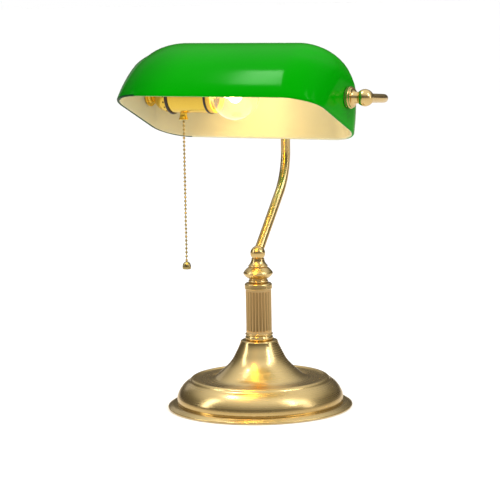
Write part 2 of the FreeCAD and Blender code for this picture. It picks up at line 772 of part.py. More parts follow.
def chain_nozzle():
    """Flared brass spout that the chain runs through, sitting on the shell."""
    seat = switch_r + 0.4
    top = nozzle_mouth - 7.0
    body = turned(outline(
        (nozzle_bore_r, -nozzle_mouth), ((nozzle_r - 0.5, -nozzle_mouth),),
        ((nozzle_r, -nozzle_mouth + 0.5), (nozzle_r - 0.4, -nozzle_mouth + 1.1)),
        ((nozzle_neck_r + 0.5, -nozzle_mouth + 3.2), (nozzle_neck_r + 0.2, -nozzle_mouth + 5.2)),
        ((nozzle_neck_r + 0.2, -top + 0.4),), ((nozzle_neck_r, -top + 0.4),), ((nozzle_neck_r, -seat),),
        ((nozzle_bore_r, -seat),)))
    body.translate(V(chain_x, pivot_y, pivot_z))
    collar = ring_x(chain_x - 12, chain_x + 12, shell_r + 0.02, shell_r - 3)
    plug = nozzle_hole(-0.02)
    return body.cut(collar.cut(plug))


# ---------------------------------------------------------------- switch and chain
def drum_axle():
    centre = V(drum_x, pivot_y, pivot_z)
    return rod(axle_r, centre + Y_AXIS * axle_front, centre + Y_AXIS * axle_back)


def switch_drum():
    """Spool that the chain winds on."""
    half = drum_groove / 2
    rim = half + drum_flange
    bore = axle_r + running_fit
    drum = turned(outline(
        (bore, -rim), ((drum_flange_r, -rim),), ((drum_flange_r, -half),), ((drum_core_r, -half),),
        ((drum_core_r, half),), ((drum_flange_r, half),), ((drum_flange_r, rim),), ((bore, rim),)))
    drum.rotate(V(0, 0, 0), X_AXIS, -90)
    drum.translate(V(drum_x, pivot_y, pivot_z))
    return drum


def return_spring():
    """Coil round the axle behind the drum, in tilted half turns; the last bears on the block."""
    rise = spring_pitch / 2
    halves = []
    for i in range(2 * spring_turns):
        side = 1 - 2 * (i % 2)
        section = Part.Face(Part.Wire(Part.makeCircle(spring_wire_r, V(side * spring_r, 0, i * rise), Y_AXIS)))
        halves.append(section.revolve(V(0, 0, (i + 0.5) * rise), V(side * rise, 0, 2 * spring_r), 180))
    coil = halves[0].fuse(halves[1:]).removeSplitter()
    coil.rotate(V(0, 0, 0), X_AXIS, -90)
    coil.translate(V(drum_x, pivot_y + drum_groove / 2 + drum_flange + spring_wire_r + 0.3, pivot_z))
    return coil


def bead_string(top, count, link_above, link_below):
    """Beads on their wire, hanging from the height of the top bead's centre."""
    lean = acos(link_r / bead_r)
    side = bead_r * sin(lean)
    steps = [((link_r, top + side + link_above),)]
    for i in range(count):
        z = top - i * bead_pitch
        steps.append(((link_r, z + side),))
        steps.append(((bead_r, z), (link_r, z - side)))
    low = top - (count - 1) * bead_pitch - side - link_below
    steps.append(((link_r, low),))
    steps.append(((0, low),))
    start = (0, top + side + link_above)
    string = turned(outline(start, *steps))
    string.translate(V(chain_x, pivot_y, pivot_z))
    return string


def chain_in_socket():
    lowest = -nozzle_mouth + bead_r + 0.2
    return bead_string(lowest + (beads_inside - 1) * bead_pitch, beads_inside, 0, link_end)


def hanging_top():
    return -nozzle_mouth + bead_r + 0.2 - bead_pitch


def pull_chain():
    return bead_string(hanging_top(), beads_hanging, link_end, 0.2)


def chain_knob():
    """Small bell at the chain's end, drilled for the last link."""
    top = hanging_top() - (beads_hanging - 1) * bead_pitch - bead_r - 0.05
    r = knob_r
    low = top - knob_tall
    bell = turned(outline(
        (link_r + 0.05, top), ((1.3, top),), ((r * 0.72, top - 1.4), (r * 0.95, top - 4.0)),
        ((r, top - 5.8), (r - 0.1, low + 1.1)), ((r - 0.3, low + 0.3), (r - 1.1, low)),
        ((0, low + 0.3),), ((0, top - 1.0),), ((link_r + 0.05, top - 1.0),)))
    bell.translate(V(chain_x, pivot_y, pivot_z))
    return bell


# ---------------------------------------------------------------- bulb
def bulb_skin(inset, tail):
    """Globe and neck as a solid about the tilt axis; tail is the neck's open end."""
    r = globe_r - inset
    neck = bulb_neck_r - inset
    join = bulb_x - sqrt(r ** 2 - neck ** 2)
    return turned_x(
        (tail, 0), ((bulb_x + r, 0),), ((bulb_x, r), (join, neck)),
        ((bulb_skirt, neck - 0.5),), ((bulb_skirt - 2.5, neck - 1.6),), ((tail, neck - 1.6),))


def bulb_glass_envelope():
    tail = bulb_skirt - 3.0
    return bulb_skin(0, tail).cut(bulb_skin(bulb_glass, tail - 1))


def bulb_cap():
    return threaded_tube(bulb_base + 4.5, bulb_skirt, screw_r, 0.35)


def bulb_insulator():
    back = bulb_base + 1.3
    return turned_x((back, 0), ((back, 5.2),), ((bulb_base + 4.4, 10.5),), ((bulb_base + 6.0, 10.5),),
                    ((bulb_base + 6.0, 0),))


def bulb_contact():
    back = bulb_base + 1.2
    return turned_x((bulb_base, 0), ((bulb_base + 0.3, 3.2), (back, 4.4)), ((back, 0),))


def filament_stem():
    """Glass mount inside the neck: flare, tube and pinched head."""
    tail = bulb_skirt - 3.0
    flare = bulb_neck_r - bulb_glass - 2.0
    return turned_x(
        (tail, 0), ((bulb_x - 14, 0),), ((bulb_x - 14.6, 2.2), (bulb_x - 16, 2.4)), ((bulb_x - 19, 2.6),),
        ((tail + 3.2, 4.4), (tail + 1.0, flare)), ((tail, flare),)).cut(filament())


def filament():
    """Two lead wires and the coil bowed between them."""
    z = pivot_z - filament_drop
    left = V(bulb_x - 14.5, pivot_y - 1.1, pivot_z)
    right = V(bulb_x - 14.5, pivot_y + 1.1, pivot_z)
    front = V(bulb_x, pivot_y - filament_r, z)
    back = V(bulb_x, pivot_y + filament_r, z)
    bow = V(bulb_x + 4.0, pivot_y, z)
    wires = rod(0.3, left, front).fuse(rod(0.3, right, back))
    coil_path = Part.Wire([Part.Arc(front, bow, back).toShape()])
    way = coil_path.Edges[0].tangentAt(coil_path.Edges[0].FirstParameter)
    coil = coil_path.makePipeShell([Part.Wire(Part.makeCircle(0.5, front, way))], True, True)
    return wires.fuse(coil)


# ---------------------------------------------------------------- build
def build():
    knuckle_right, knuckle_left = both_ends(knuckle())
    flange_right, flange_left = both_ends(flange())
    grommet_right, grommet_left = both_ends(grommet())
    washer_right, washer_left = both_ends(inner_washer())
    lock_right, lock_left = both_ends(lock_nut())
    nipple_right = nipple(lock_in - 1.0)
    nipple_left = nipple(lock_in - 6.0).mirror(V(0, 0, 0), X_AXIS)
    return {
        "base_cover": base_cover(),
        "felt_pad": felt_pad(),
        "base_plate": base_plate(),
        "base_weight": base_weight(),
        "base_washer": base_washer(),
        "base_nut": base_nut(),
        "cord_gland": cord_gland(),
        "tie_rod": tie_rod(),
        "foot_collar": foot_collar(),
        "fluted_column": fluted_column(),
        "column_cap": column_cap(),
        "stem_knop": stem_knop(),
        "stem_bell": stem_bell(),
        "arm_knuckle": arm_knuckle(),
        "arm_tube": arm_tube(),
        "yoke_tube": yoke_tube(),
        "yoke_hub": yoke_hub(),
        "knuckle_left": knuckle_left,
        "knuckle_right": knuckle_right,
        "flange_left": flange_left,
        "flange_right": flange_right,
        "nipple_left": nipple_left,
        "nipple_right": nipple_right,
        "lock_nut_left": lock_left,
        "lock_nut_right": lock_right,
        "grommet_left": grommet_left,
        "grommet_right": grommet_right,
        "inner_washer_left": washer_left,
        "inner_washer_right": washer_right,
        "shade_glass": shade_glass(),
        "socket_cap": socket_cap(),
        "split_ring": split_ring(),
        "socket_shell": socket_shell(),
        "mouth_ring": mouth_ring(),
        "socket_liner": socket_liner(),
        "mouth_collar": mouth_collar(),
        "switch_body": switch_body(),
        "screw_shell": screw_shell(),
        "contact_leaf": contact_leaf(),
        "chain_nozzle": chain_nozzle(),
        "drum_axle": drum_axle(),
        "switch_drum": switch_drum(),
        "return_spring": return_spring(),
        "chain_in_socket": chain_in_socket(),
        "pull_chain": pull_chain(),
        "chain_knob": chain_knob(),
        "bulb_envelope": bulb_glass_envelope(),
        "bulb_cap": bulb_cap(),
        "bulb_insulator": bulb_insulator(),
        "bulb_contact": bulb_contact(),
        "filament_stem": filament_stem(),
        "filament": filament(),
    }


os.makedirs("parts", exist_ok=True)
for name, shape in build().items():
    shape.exportStep(f"parts/{name}.step")
    box = shape.BoundBox
    print(f"{name:20s} solids {len(shape.Solids)} valid {shape.isValid()} volume {shape.Volume:10.1f} "
          f"x {box.XMin:7.1f} {box.XMax:7.1f} y {box.YMin:7.1f} {box.YMax:7.1f} z {box.ZMin:6.1f} {box.ZMax:6.1f}")
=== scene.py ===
# %% [markdown]
# # A banker desk lamp, piece by piece
# A banker lamp is a spun brass foot on a hidden cast weight, a fluted column, a leaning arm
# and a U-shaped yoke that carries a cased-glass shade round a pull-chain bulb socket.
# The engineering model is loaded first, as a fixed frame: it says where every piece is and
# which pieces move together. Each visible piece is then modelled over its frame node, in
# metres, given its finish, and told which body it rides on.

# %% Load the frame and note its size
import json
from math import acos, atan2, cos, pi, radians, sin, sqrt

import bpy
from mathutils import Matrix, Vector

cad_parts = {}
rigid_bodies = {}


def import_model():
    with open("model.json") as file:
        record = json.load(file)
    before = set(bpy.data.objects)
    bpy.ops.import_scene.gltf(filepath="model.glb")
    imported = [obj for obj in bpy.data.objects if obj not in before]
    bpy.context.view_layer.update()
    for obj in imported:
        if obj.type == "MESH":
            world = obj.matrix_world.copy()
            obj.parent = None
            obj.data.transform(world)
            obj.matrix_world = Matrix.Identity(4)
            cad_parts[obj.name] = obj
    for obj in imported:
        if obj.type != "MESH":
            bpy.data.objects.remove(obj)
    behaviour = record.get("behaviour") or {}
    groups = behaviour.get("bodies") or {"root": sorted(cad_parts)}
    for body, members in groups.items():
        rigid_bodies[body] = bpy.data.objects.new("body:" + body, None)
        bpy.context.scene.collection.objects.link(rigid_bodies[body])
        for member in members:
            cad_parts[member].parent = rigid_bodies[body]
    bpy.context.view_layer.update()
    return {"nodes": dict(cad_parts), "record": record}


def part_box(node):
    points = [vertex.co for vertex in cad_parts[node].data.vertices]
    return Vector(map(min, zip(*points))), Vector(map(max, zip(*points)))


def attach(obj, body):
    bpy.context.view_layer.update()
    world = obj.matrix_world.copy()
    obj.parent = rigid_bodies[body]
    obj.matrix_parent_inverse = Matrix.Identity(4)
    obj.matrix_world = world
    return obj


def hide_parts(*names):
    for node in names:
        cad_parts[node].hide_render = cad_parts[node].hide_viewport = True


for leftover in list(bpy.data.objects):
    bpy.data.objects.remove(leftover)
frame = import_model()
MM = 0.001

# %% [markdown]
# Every node of the frame belongs to a body and takes one finish from the record. Those two
# lists are read once, so that a new piece only has to name the node that it stands for.

# %% Which body and which finish each node has
node_slot = {entry["node"]: entry["material_slot"] for entry in frame["record"]["subparts"]}
node_body = {}
for body_name, members in frame["record"]["behaviour"]["bodies"].items():
    for member in members:
        node_body[member] = body_name

# %% [markdown]
# The tilt axis runs through the socket. Its height and depth come from the socket shell's
# box, and everything on the shade's line is drawn from it. The lamp's upright axis is the
# origin's own vertical.

# %% The two axes that the lamp is turned about
shell_low, shell_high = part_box("socket_shell")
TILT_Y = (shell_low.y + shell_high.y) / 2
TILT_Z = (shell_low.z + shell_high.z) / 2
UPRIGHT = (Vector((0, 0, 0)), "Z")
TILT = (Vector((0, TILT_Y, TILT_Z)), "X")
print("tilt axis at y %.1f mm, z %.1f mm" % (TILT_Y / MM, TILT_Z / MM))

# %% [markdown]
# ## How the pieces are made
# Most of a lamp is turned work, so the main tool is a lathe: half of the piece's outline is
# drawn a vertex at a time with Extrude, and Spin carries it once round the axis. An outline
# is written in millimetres as (radius, distance along the axis). Rounds in it are written by
# the point that the curve passes through, as on a turner's template.

# %% Points of an outline
def bow(start, through, end, cuts=8):
    """Points on the arc from start to end by way of through, without start itself."""
    (ax, ay), (bx, by), (cx, cy) = start, through, end
    turn = 2 * (ax * (by - cy) + bx * (cy - ay) + cx * (ay - by))
    a, b, c = ax * ax + ay * ay, bx * bx + by * by, cx * cx + cy * cy
    ox = (a * (by - cy) + b * (cy - ay) + c * (ay - by)) / turn
    oy = (a * (cx - bx) + b * (ax - cx) + c * (bx - ax)) / turn
    first = atan2(ay - oy, ax - ox)
    mid = (atan2(by - oy, bx - ox) - first) % (2 * pi)
    last = (atan2(cy - oy, cx - ox) - first) % (2 * pi)
    if mid > last:
        last -= 2 * pi
    r = sqrt((ax - ox) ** 2 + (ay - oy) ** 2)
    return [(ox + r * cos(first + last * i / cuts), oy + r * sin(first + last * i / cuts))
            for i in range(1, cuts + 1)]


def outline(start, *steps):
    """A step of one point is a straight line, and of two points an arc through the first."""
    points = [start]
    for step in steps:
        if isinstance(step[0], tuple):
            points += bow(points[-1], *step)
        else:
            points.append(step)
    return points


print("an arc of 8 cuts:", len(outline((0, 0), ((1, 1), (2, 0)))) - 1, "points")

# %% [markdown]
# Operators act on whatever is selected, so each piece starts with nothing selected and one
# fresh plane, merged into a single vertex that can be led along the outline. After Spin the
# first and last copies lie on each other: they are merged, and the normals are made to point
# outwards before anything else is done. Steps are how many flats stand in for a full circle.

# %% The lathe
FULL_TURN = 96
SAME_PLACE = 0.002 * MM


def only(piece):
    """Selects one piece by itself and makes it the active one."""
    bpy.ops.object.select_all(action="DESELECT")
    bpy.context.view_layer.objects.active = piece
    piece.select_set(True)


def start_piece(name):
    """A new piece that is a single selected vertex at the origin, left in edit mode."""
    bpy.ops.object.select_all(action="DESELECT")
    bpy.ops.mesh.primitive_plane_add(size=MM)
    piece = bpy.context.active_object
    piece.name = piece.data.name = name
    bpy.ops.object.mode_set(mode="EDIT")
    bpy.ops.mesh.select_mode(type="VERT")
    bpy.ops.mesh.select_all(action="SELECT")
    bpy.ops.mesh.merge(type="CENTER")
    return piece


def close_up():
    """Merges doubled vertices and turns every face outwards, then leaves edit mode."""
    bpy.ops.mesh.select_all(action="SELECT")
    bpy.ops.mesh.remove_doubles(threshold=SAME_PLACE)
    bpy.ops.mesh.normals_make_consistent(inside=False)
    bpy.ops.object.mode_set(mode="OBJECT")


def spun(name, points, line=UPRIGHT, steps=FULL_TURN):
    """Turns an outline of (radius, along) points, in mm, about the upright or the tilt axis."""
    origin, letter = line
    out, along = Vector((1, 0, 0)), Vector((0, 0, 1))
    if letter == "X":
        out, along = along, out
    places = [origin + (out * r + along * a) * MM for r, a in points]
    piece = start_piece(name)
    bpy.ops.transform.translate(value=places[0])
    for here, there in zip(places, places[1:]):
        bpy.ops.mesh.extrude_region_move(TRANSFORM_OT_translate={"value": there - here})
    bpy.ops.mesh.select_all(action="SELECT")
    bpy.ops.mesh.spin(steps=steps, angle=2 * pi, center=origin, axis=along)
    close_up()
    return piece


def closed(points):
    """The same outline, led back to its first point."""
    return points + [points[0]]


# %% [markdown]
# Modifiers give the walls their thickness, take the knife edge off corners, and cut holes.
# Each is applied at once, so the piece that is kept is plain mesh.

# %% Modifiers as tools
def modify(piece, kind, **settings):
    """Adds one modifier, sets it and applies it."""
    only(piece)
    tool = piece.modifiers.new(kind.title(), kind)
    for key, value in settings.items():
        setattr(tool, key, value)
    bpy.ops.object.modifier_apply(modifier=tool.name)
    return piece


def ease_edges(piece, width=0.25, segments=2, angle=32):
    """Rounds the sharp edges by a width in mm, so that they catch the light."""
    return modify(piece, "BEVEL", width=width * MM, segments=segments, limit_method="ANGLE",
                  angle_limit=radians(angle), use_clamp_overlap=True, harden_normals=False)


def give_wall(piece, wall, **settings):
    """Gives an open skin its thickness, inwards, in mm."""
    return modify(piece, "SOLIDIFY", thickness=wall * MM, offset=-1, use_even_offset=True,
                  **settings)


def cut_with(piece, cutter, how="DIFFERENCE"):
    """Cuts or joins one closed piece with another, which is used up."""
    modify(piece, "BOOLEAN", object=cutter, operation=how, solver="EXACT")
    bpy.data.objects.remove(cutter)
    return piece


def smooth(piece, angle=35):
    """Smooth shading, kept sharp where two faces meet at more than the angle."""
    only(piece)
    bpy.ops.object.shade_smooth_by_angle(angle=radians(angle))
    return piece


def ring_of(piece, count, line, first=0.0):
    """Copies a piece round an axis, each copy with its own mesh, and joins them into one."""
    origin, letter = line
    copies = []
    for i in range(count):
        twin = piece.copy()
        twin.data = piece.data.copy()
        bpy.context.collection.objects.link(twin)
        turn = Matrix.Rotation(first + 2 * pi * i / count, 4, letter)
        twin.data.transform(Matrix.Translation(origin) @ turn @ Matrix.Translation(-origin))
        copies.append(twin)
    bpy.data.objects.remove(piece)
    only(copies[0])
    for twin in copies[1:]:
        twin.select_set(True)
    bpy.ops.object.join()
    return bpy.context.active_object


# %% [markdown]
# Edit-mode operators work on selected faces. They are picked by where they lie or which way
# they look, with everything else let go first.

# %% Picking faces
def pick_faces(piece, wanted):
    """Enters edit mode with only the wanted faces selected."""
    only(piece)
    bpy.ops.object.mode_set(mode="EDIT")
    bpy.ops.mesh.select_mode(type="FACE")
    bpy.ops.mesh.select_all(action="DESELECT")
    bpy.ops.object.mode_set(mode="OBJECT")
    for face in piece.data.polygons:
        face.select = wanted(face)
    bpy.ops.object.mode_set(mode="EDIT")


# %% [markdown]
# A finished piece is handed over to the frame in one go: it rides on the body of the node
# that it stands for, takes that node's finish, and the node itself is hidden.

# %% Handing a piece over
pieces = []
ALREADY_SAME = 0.001 * MM


def hand_over(piece, *nodes, finish=None):
    """The piece rides with its first node's body, takes its finish and stands for all of them."""
    if not piece.data.materials:
        piece.data.materials.append(finish or finishes[node_slot[nodes[0]]])
    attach(piece, node_body[nodes[0]])
    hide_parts(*nodes)
    pieces.append(piece.name)
    print("%-20s %6d faces, for %s" % (piece.name, len(piece.data.polygons), ", ".join(nodes)))


def refined(node):
    """A merged, smoothly shaded copy of a node whose shape is already right."""
    piece = frame["nodes"][node].copy()
    piece.data = piece.data.copy()
    for key in [k for k in piece.keys() if k.startswith("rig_")]:
        del piece[key]
    piece.data.materials.clear()
    piece.parent = None
    piece.name = piece.data.name = "fine_" + node
    bpy.context.collection.objects.link(piece)
    only(piece)
    bpy.ops.object.mode_set(mode="EDIT")
    bpy.ops.mesh.select_all(action="SELECT")
    bpy.ops.mesh.remove_doubles(threshold=ALREADY_SAME)
    bpy.ops.object.mode_set(mode="OBJECT")
    hand_over(smooth(piece, 30), node)


# %% [markdown]
# ## Finishes
# A finish is a small tree of nodes on the object's own coordinates, in metres, so its grain
# has a real size. Every one starts in the same way: a Principled shader whose colour drifts
# between two tones, whose roughness is uneven, and whose bump is fine grain.

# %% Node helpers
def new_finish(name):
    """An empty finish: its material, a function that adds a node, and its shader."""
    material = bpy.data.materials.new(name)
    material.use_nodes = True
    tree = material.node_tree

    def add(kind, links=(), **values):
        node = tree.nodes.new("ShaderNode" + kind)
        for key, value in values.items():
            if key in node.inputs:
                node.inputs[key].default_value = value
            else:
                setattr(node, key, value)
        for socket, source in links:
            tree.links.new(source, node.inputs[socket])
        return node

    def wire(source, socket):
        tree.links.new(source, tree.nodes["Principled BSDF"].inputs[socket])

    return material, add, wire, tree.nodes["Principled BSDF"]


def set_sockets(shader, **values):
    """Sets uniform values on the shader's own sockets; underscores stand for spaces."""
    for key, value in values.items():
        shader.inputs[key.replace("_", " ")].default_value = value


def ranged(add, source, low, high, lowest=0.0, highest=1.0, **settings):
    """Maps a value that runs from low to high onto lowest to highest."""
    node = add("MapRange", [(0, source)], **settings)
    for socket, value in enumerate((low, high, lowest, highest), start=1):
        node.inputs[socket].default_value = value
    return node.outputs[0]


def blended(add, by, light, dark):
    """A colour between two tones, by a value."""
    return add("MixRGB", [(0, by)], Color1=(*light, 1), Color2=(*dark, 1)).outputs[0]


def from_axis(add, place, letter):
    """How far a place is from the line of its Z or X axis, and its three parts."""
    part = add("SeparateXYZ", [(0, place)])
    across = part.outputs["X" if letter == "Z" else "Z"]
    flat = add("CombineXYZ", [(0, across), (1, part.outputs["Y"])])
    return add("VectorMath", [(0, flat.outputs[0])], operation="LENGTH").outputs["Value"], part


def rippled(add, wire, height, strength, depth):
    """Small waves in the surface, by a height, a strength and a depth in metres."""
    relief = add("Bump", [("Height", height)], Strength=strength, Distance=depth)
    wire(relief.outputs[0], "Normal")


# %% [markdown]
# Turned brass has rings, because the last cut or the last rag went round with the lathe.
# Rings are a noise that only knows the distance from the axis and the distance along it.
# Drawn tube has no rings, so it takes ordinary noise, and the arm's is polished quite flat.

# %% A maker of metals
SMALLEST_MIX, LARGEST_MIX = 0.1, 0.45


def metal(name, light, dark, rough, rings=None, drift=18.0, grain=900.0, bump=0.04,
          painted_hollow_shade=None, **sockets):
    """Metal whose tone drifts; rings is the axis it was turned about, painted_hollow_shade the
    painted shade down in its hollows.
    """
    material, add, wire, shader = new_finish(name)
    set_sockets(shader, Metallic=1.0, **sockets)
    place = add("TexCoord").outputs["Object"]
    tone = add("TexNoise", [("Vector", place)], Scale=drift, Detail=3.0, Roughness=0.55)
    grain_place = place
    if rings:
        origin, letter = rings
        at = add("VectorMath", [(0, place)], operation="SUBTRACT")
        at.inputs[1].default_value = origin
        reach, part = from_axis(add, at.outputs[0], letter)
        line = add("CombineXYZ", [(0, reach), (1, part.outputs[letter])])
        grain_place = line.outputs[0]
    fine = add("TexNoise", [("Vector", grain_place)], Scale=grain, Detail=2.0, Roughness=0.6)
    colour = blended(add, tone.outputs["Fac"], light, dark)
    # Painted shade: the colour turns to the shadow tone towards the axis, down in the flutes.
    if painted_hollow_shade:
        deep, crest, shadow = painted_hollow_shade
        reach, part = from_axis(add, place, "Z")
        height = ranged(add, reach, deep, crest)
        colour = add("MixRGB", [(0, height), (2, colour)], Color1=(*shadow, 1)).outputs[0]
    wire(colour, "Base Color")
    mixed = add("Math", [(0, fine.outputs["Fac"]), (1, tone.outputs["Fac"])], operation="MULTIPLY")
    wire(ranged(add, mixed.outputs[0], SMALLEST_MIX, LARGEST_MIX, *rough), "Roughness")
    rippled(add, wire, fine.outputs["Fac"], bump, 0.0002)
    return material


# %% [markdown]
# Fibre, plastic, iron, felt and card are not metals in their look: their colour mottles, and
# their surface is rougher. One maker serves them all, with the grain's size and depth.

# %% A maker of plain stuffs
def stuff(name, light, dark, rough, drift=60.0, grain=1500.0, bump=0.2, depth=0.0002, **sockets):
    """Non-metal with a mottled colour and a grain of its own size."""
    material, add, wire, shader = new_finish(name)
    set_sockets(shader, **sockets)
    place = add("TexCoord").outputs["Object"]
    tone = add("TexNoise", [("Vector", place)], Scale=drift, Detail=4.0, Roughness=0.6)
    fine = add("TexNoise", [("Vector", place)], Scale=grain, Detail=3.0, Roughness=0.7)
    wire(blended(add, tone.outputs["Fac"], light, dark), "Base Color")
    wire(ranged(add, fine.outputs["Fac"], 0.0, 1.0, *rough), "Roughness")
    rippled(add, wire, fine.outputs["Fac"], bump, depth)
    return material


# %% [markdown]
# The lamp's own finishes. The brass of the foot is lacquered, which is a thin clear coat over
# a satin metal; the column is matt, with painted shade darkening it down in the flutes; the
# socket is bright rolled sheet. Each line gives a light tone, a dark tone and the roughness
# from smoothest to roughest.

# %% Every plain finish of the lamp
SATIN = ((0.83, 0.625, 0.285), (0.64, 0.46, 0.19), (0.20, 0.33))
LACQUER = {"Coat_Weight": 0.25, "Coat_Roughness": 0.12}
# Painted shade in the flutes: its deepest and crest radius in metres, and the shadow colour.
FLUTE_SHADE = (0.0119, 0.0128, (0.34, 0.23, 0.10))
satin_tube = metal("Satin brass tube", *SATIN, grain=60.0, bump=0.0, **LACQUER)
satin_side = metal("Satin brass side", *SATIN, rings=TILT, **LACQUER)
finishes = {
    "satin_brass": metal("Satin brass", *SATIN, rings=UPRIGHT, **LACQUER),
    "fluted_brass": metal("Fluted brass", (0.76, 0.56, 0.28), (0.62, 0.43, 0.20), (0.34, 0.50),
                          bump=0.08, painted_hollow_shade=FLUTE_SHADE),
    "socket_brass": metal("Socket brass", (0.86, 0.62, 0.11), (0.74, 0.50, 0.07), (0.12, 0.24),
                          rings=TILT),
    "chain_brass": metal("Chain brass", (0.58, 0.49, 0.24), (0.42, 0.34, 0.14), (0.18, 0.30),
                         grain=2400.0),
    "plated_steel": metal("Zinc plate", (0.62, 0.62, 0.60), (0.48, 0.49, 0.48), (0.25, 0.45),
                          drift=40.0),
    "cap_metal": metal("Bulb cap", (0.86, 0.60, 0.20), (0.74, 0.48, 0.13), (0.15, 0.30),
                       rings=TILT),
    "tin": metal("Solder", (0.60, 0.60, 0.60), (0.46, 0.46, 0.47), (0.30, 0.50), drift=200.0,
                 bump=0.3),
    "steel_sheet": metal("Sheet steel", (0.42, 0.42, 0.43), (0.30, 0.29, 0.28), (0.35, 0.60),
                         drift=30.0),
    "dark_ring": stuff("Dark ring", (0.030, 0.018, 0.010), (0.012, 0.008, 0.006), (0.18, 0.34),
                       bump=0.05),
    "cast_iron": stuff("Cast iron", (0.10, 0.10, 0.10), (0.05, 0.05, 0.05), (0.6, 0.9), bump=0.8,
                       depth=0.001, grain=400.0, Metallic=0.6),
    "felt": stuff("Felt", (0.03, 0.10, 0.045), (0.015, 0.06, 0.025), (0.85, 1.0), grain=2600.0,
                  bump=0.9, depth=0.0005, Sheen_Weight=0.4, Sheen_Roughness=0.6),
    "gland_plastic": stuff("Gland plastic", (0.035, 0.035, 0.035), (0.02, 0.02, 0.02),
                           (0.35, 0.5)),
    "fibre": stuff("Fibre", (0.26, 0.13, 0.07), (0.17, 0.08, 0.045), (0.55, 0.75), bump=0.3),
    "liner_card": stuff("Card", (0.42, 0.28, 0.14), (0.32, 0.21, 0.10), (0.7, 0.9), bump=0.4),
    "collar_plastic": stuff("Collar", (0.80, 0.50, 0.05), (0.68, 0.40, 0.03), (0.20, 0.36),
                            bump=0.05),
    "phenolic": stuff("Phenolic", (0.05, 0.03, 0.02), (0.03, 0.018, 0.012), (0.3, 0.45)),
    "black_glass": stuff("Black glass", (0.012, 0.012, 0.014), (0.006, 0.006, 0.007),
                         (0.08, 0.16), bump=0.03),
}
print(len(finishes), "plain finishes")

# %% [markdown]
# The casing of the shade is coloured all through and hides what is behind it, so it is drawn
# as an opaque, saturated green with a thin shine. Its green is darkened towards both ends as
# painted shade, least a little right of the middle. The white inside is a denser glass,
# warmed in tone. All of them waver slightly, as blown glass does.

# %% A maker of glass
def glass_skin(name, light, dark, rough, ripple, ends=None, **sockets):
    """Coloured glass that wavers; ends says where along X it is darkened as painted shade, and to
    what colour.
    """
    material, add, wire, shader = new_finish(name)
    set_sockets(shader, **sockets)
    place = add("TexCoord").outputs["Object"]
    tone = add("TexNoise", [("Vector", place)], Scale=14.0, Detail=2.0)
    wave = add("TexNoise", [("Vector", place)], Scale=22.0, Detail=1.0)
    colour = blended(add, tone.outputs["Fac"], light, dark)
    # Painted shade: the colour darkens away from a lit middle, towards both ends.
    if ends:
        lit_middle_x, start, full, end_shade_colour = ends
        part = add("SeparateXYZ", [(0, place)])
        away = add("Math", [(0, part.outputs["X"])], operation="SUBTRACT")
        away.inputs[1].default_value = lit_middle_x
        reach = add("Math", [(0, away.outputs[0])], operation="ABSOLUTE")
        end_shade_amount = ranged(add, reach.outputs[0], start, full, interpolation_type="SMOOTHSTEP")
        colour = add("MixRGB", [(0, end_shade_amount), (1, colour)], Color2=(*end_shade_colour, 1)).outputs[0]
    wire(colour, "Base Color")
    wire(ranged(add, wave.outputs["Fac"], 0.0, 1.0, *rough), "Roughness")
    rippled(add, wire, wave.outputs["Fac"], ripple, 0.002)
    return material


# %% [markdown]
# At its left end the rim of the shade is given a thin dark line, which is painted shade.
# The bulb's globe is clear and lit from within, so it has a faint glow of its own, and the
# coil inside it is far brighter than anything else.

# %% Glass of the shade and the bulb
CROWN_GLASS = 1.52
THIN_SHINE = 0.05
# Painted shade at the glass's ends: the x where it is least, where it starts and is full, and its
# colour.
END_SHADE = (0.020, 0.055, 0.135, (0.0, 0.11, 0.001))
finishes["cased_glass"] = glass_skin(
    "Green casing", (0.0, 0.28, 0.0), (0.0, 0.24, 0.0), (0.10, 0.15), 0.04, ends=END_SHADE,
    IOR=CROWN_GLASS, Specular_IOR_Level=THIN_SHINE, Specular_Tint=(0.3, 1.0, 0.3, 1))
opal = glass_skin("Opal lining", (0.58, 0.55, 0.37), (0.54, 0.51, 0.33), (0.28, 0.40), 0.04,
                  IOR=1.5, Specular_IOR_Level=0.15)
# Painted shade: a near-black green for the rim's faces at the left end.
painted_rim_shade = glass_skin("Cut edge", (0.0, 0.045, 0.008), (0.0, 0.030, 0.004), (0.10, 0.16), 0.02,
                      IOR=CROWN_GLASS, Specular_IOR_Level=THIN_SHINE)
finishes["clear_glass"] = glass_skin(
    "Clear glass", (1.0, 1.0, 1.0), (0.98, 0.99, 0.98), (0.0, 0.02), 0.03,
    Transmission_Weight=1.0, IOR=1.45, Emission_Color=(1.0, 0.78, 0.36, 1),
    Emission_Strength=0.06)
finishes["hot_filament"] = glass_skin(
    "Hot coil", (1.0, 0.62, 0.20), (1.0, 0.55, 0.14), (0.4, 0.5), 0.0,
    Emission_Color=(1.0, 0.66, 0.26, 1), Emission_Strength=60.0)
print(len(finishes), "finishes with the glass ones")

# %% [markdown]
# ## The foot
# The foot of the real lamp is one disc of sheet brass, pressed over a wooden former while it
# spins, until it has a rolled lip, a low drum, a dished top and a trumpet that rises to the
# column. It could be sculpted from a cylinder, but an outline that is spun is how it is
# really made and keeps every ring perfectly round.

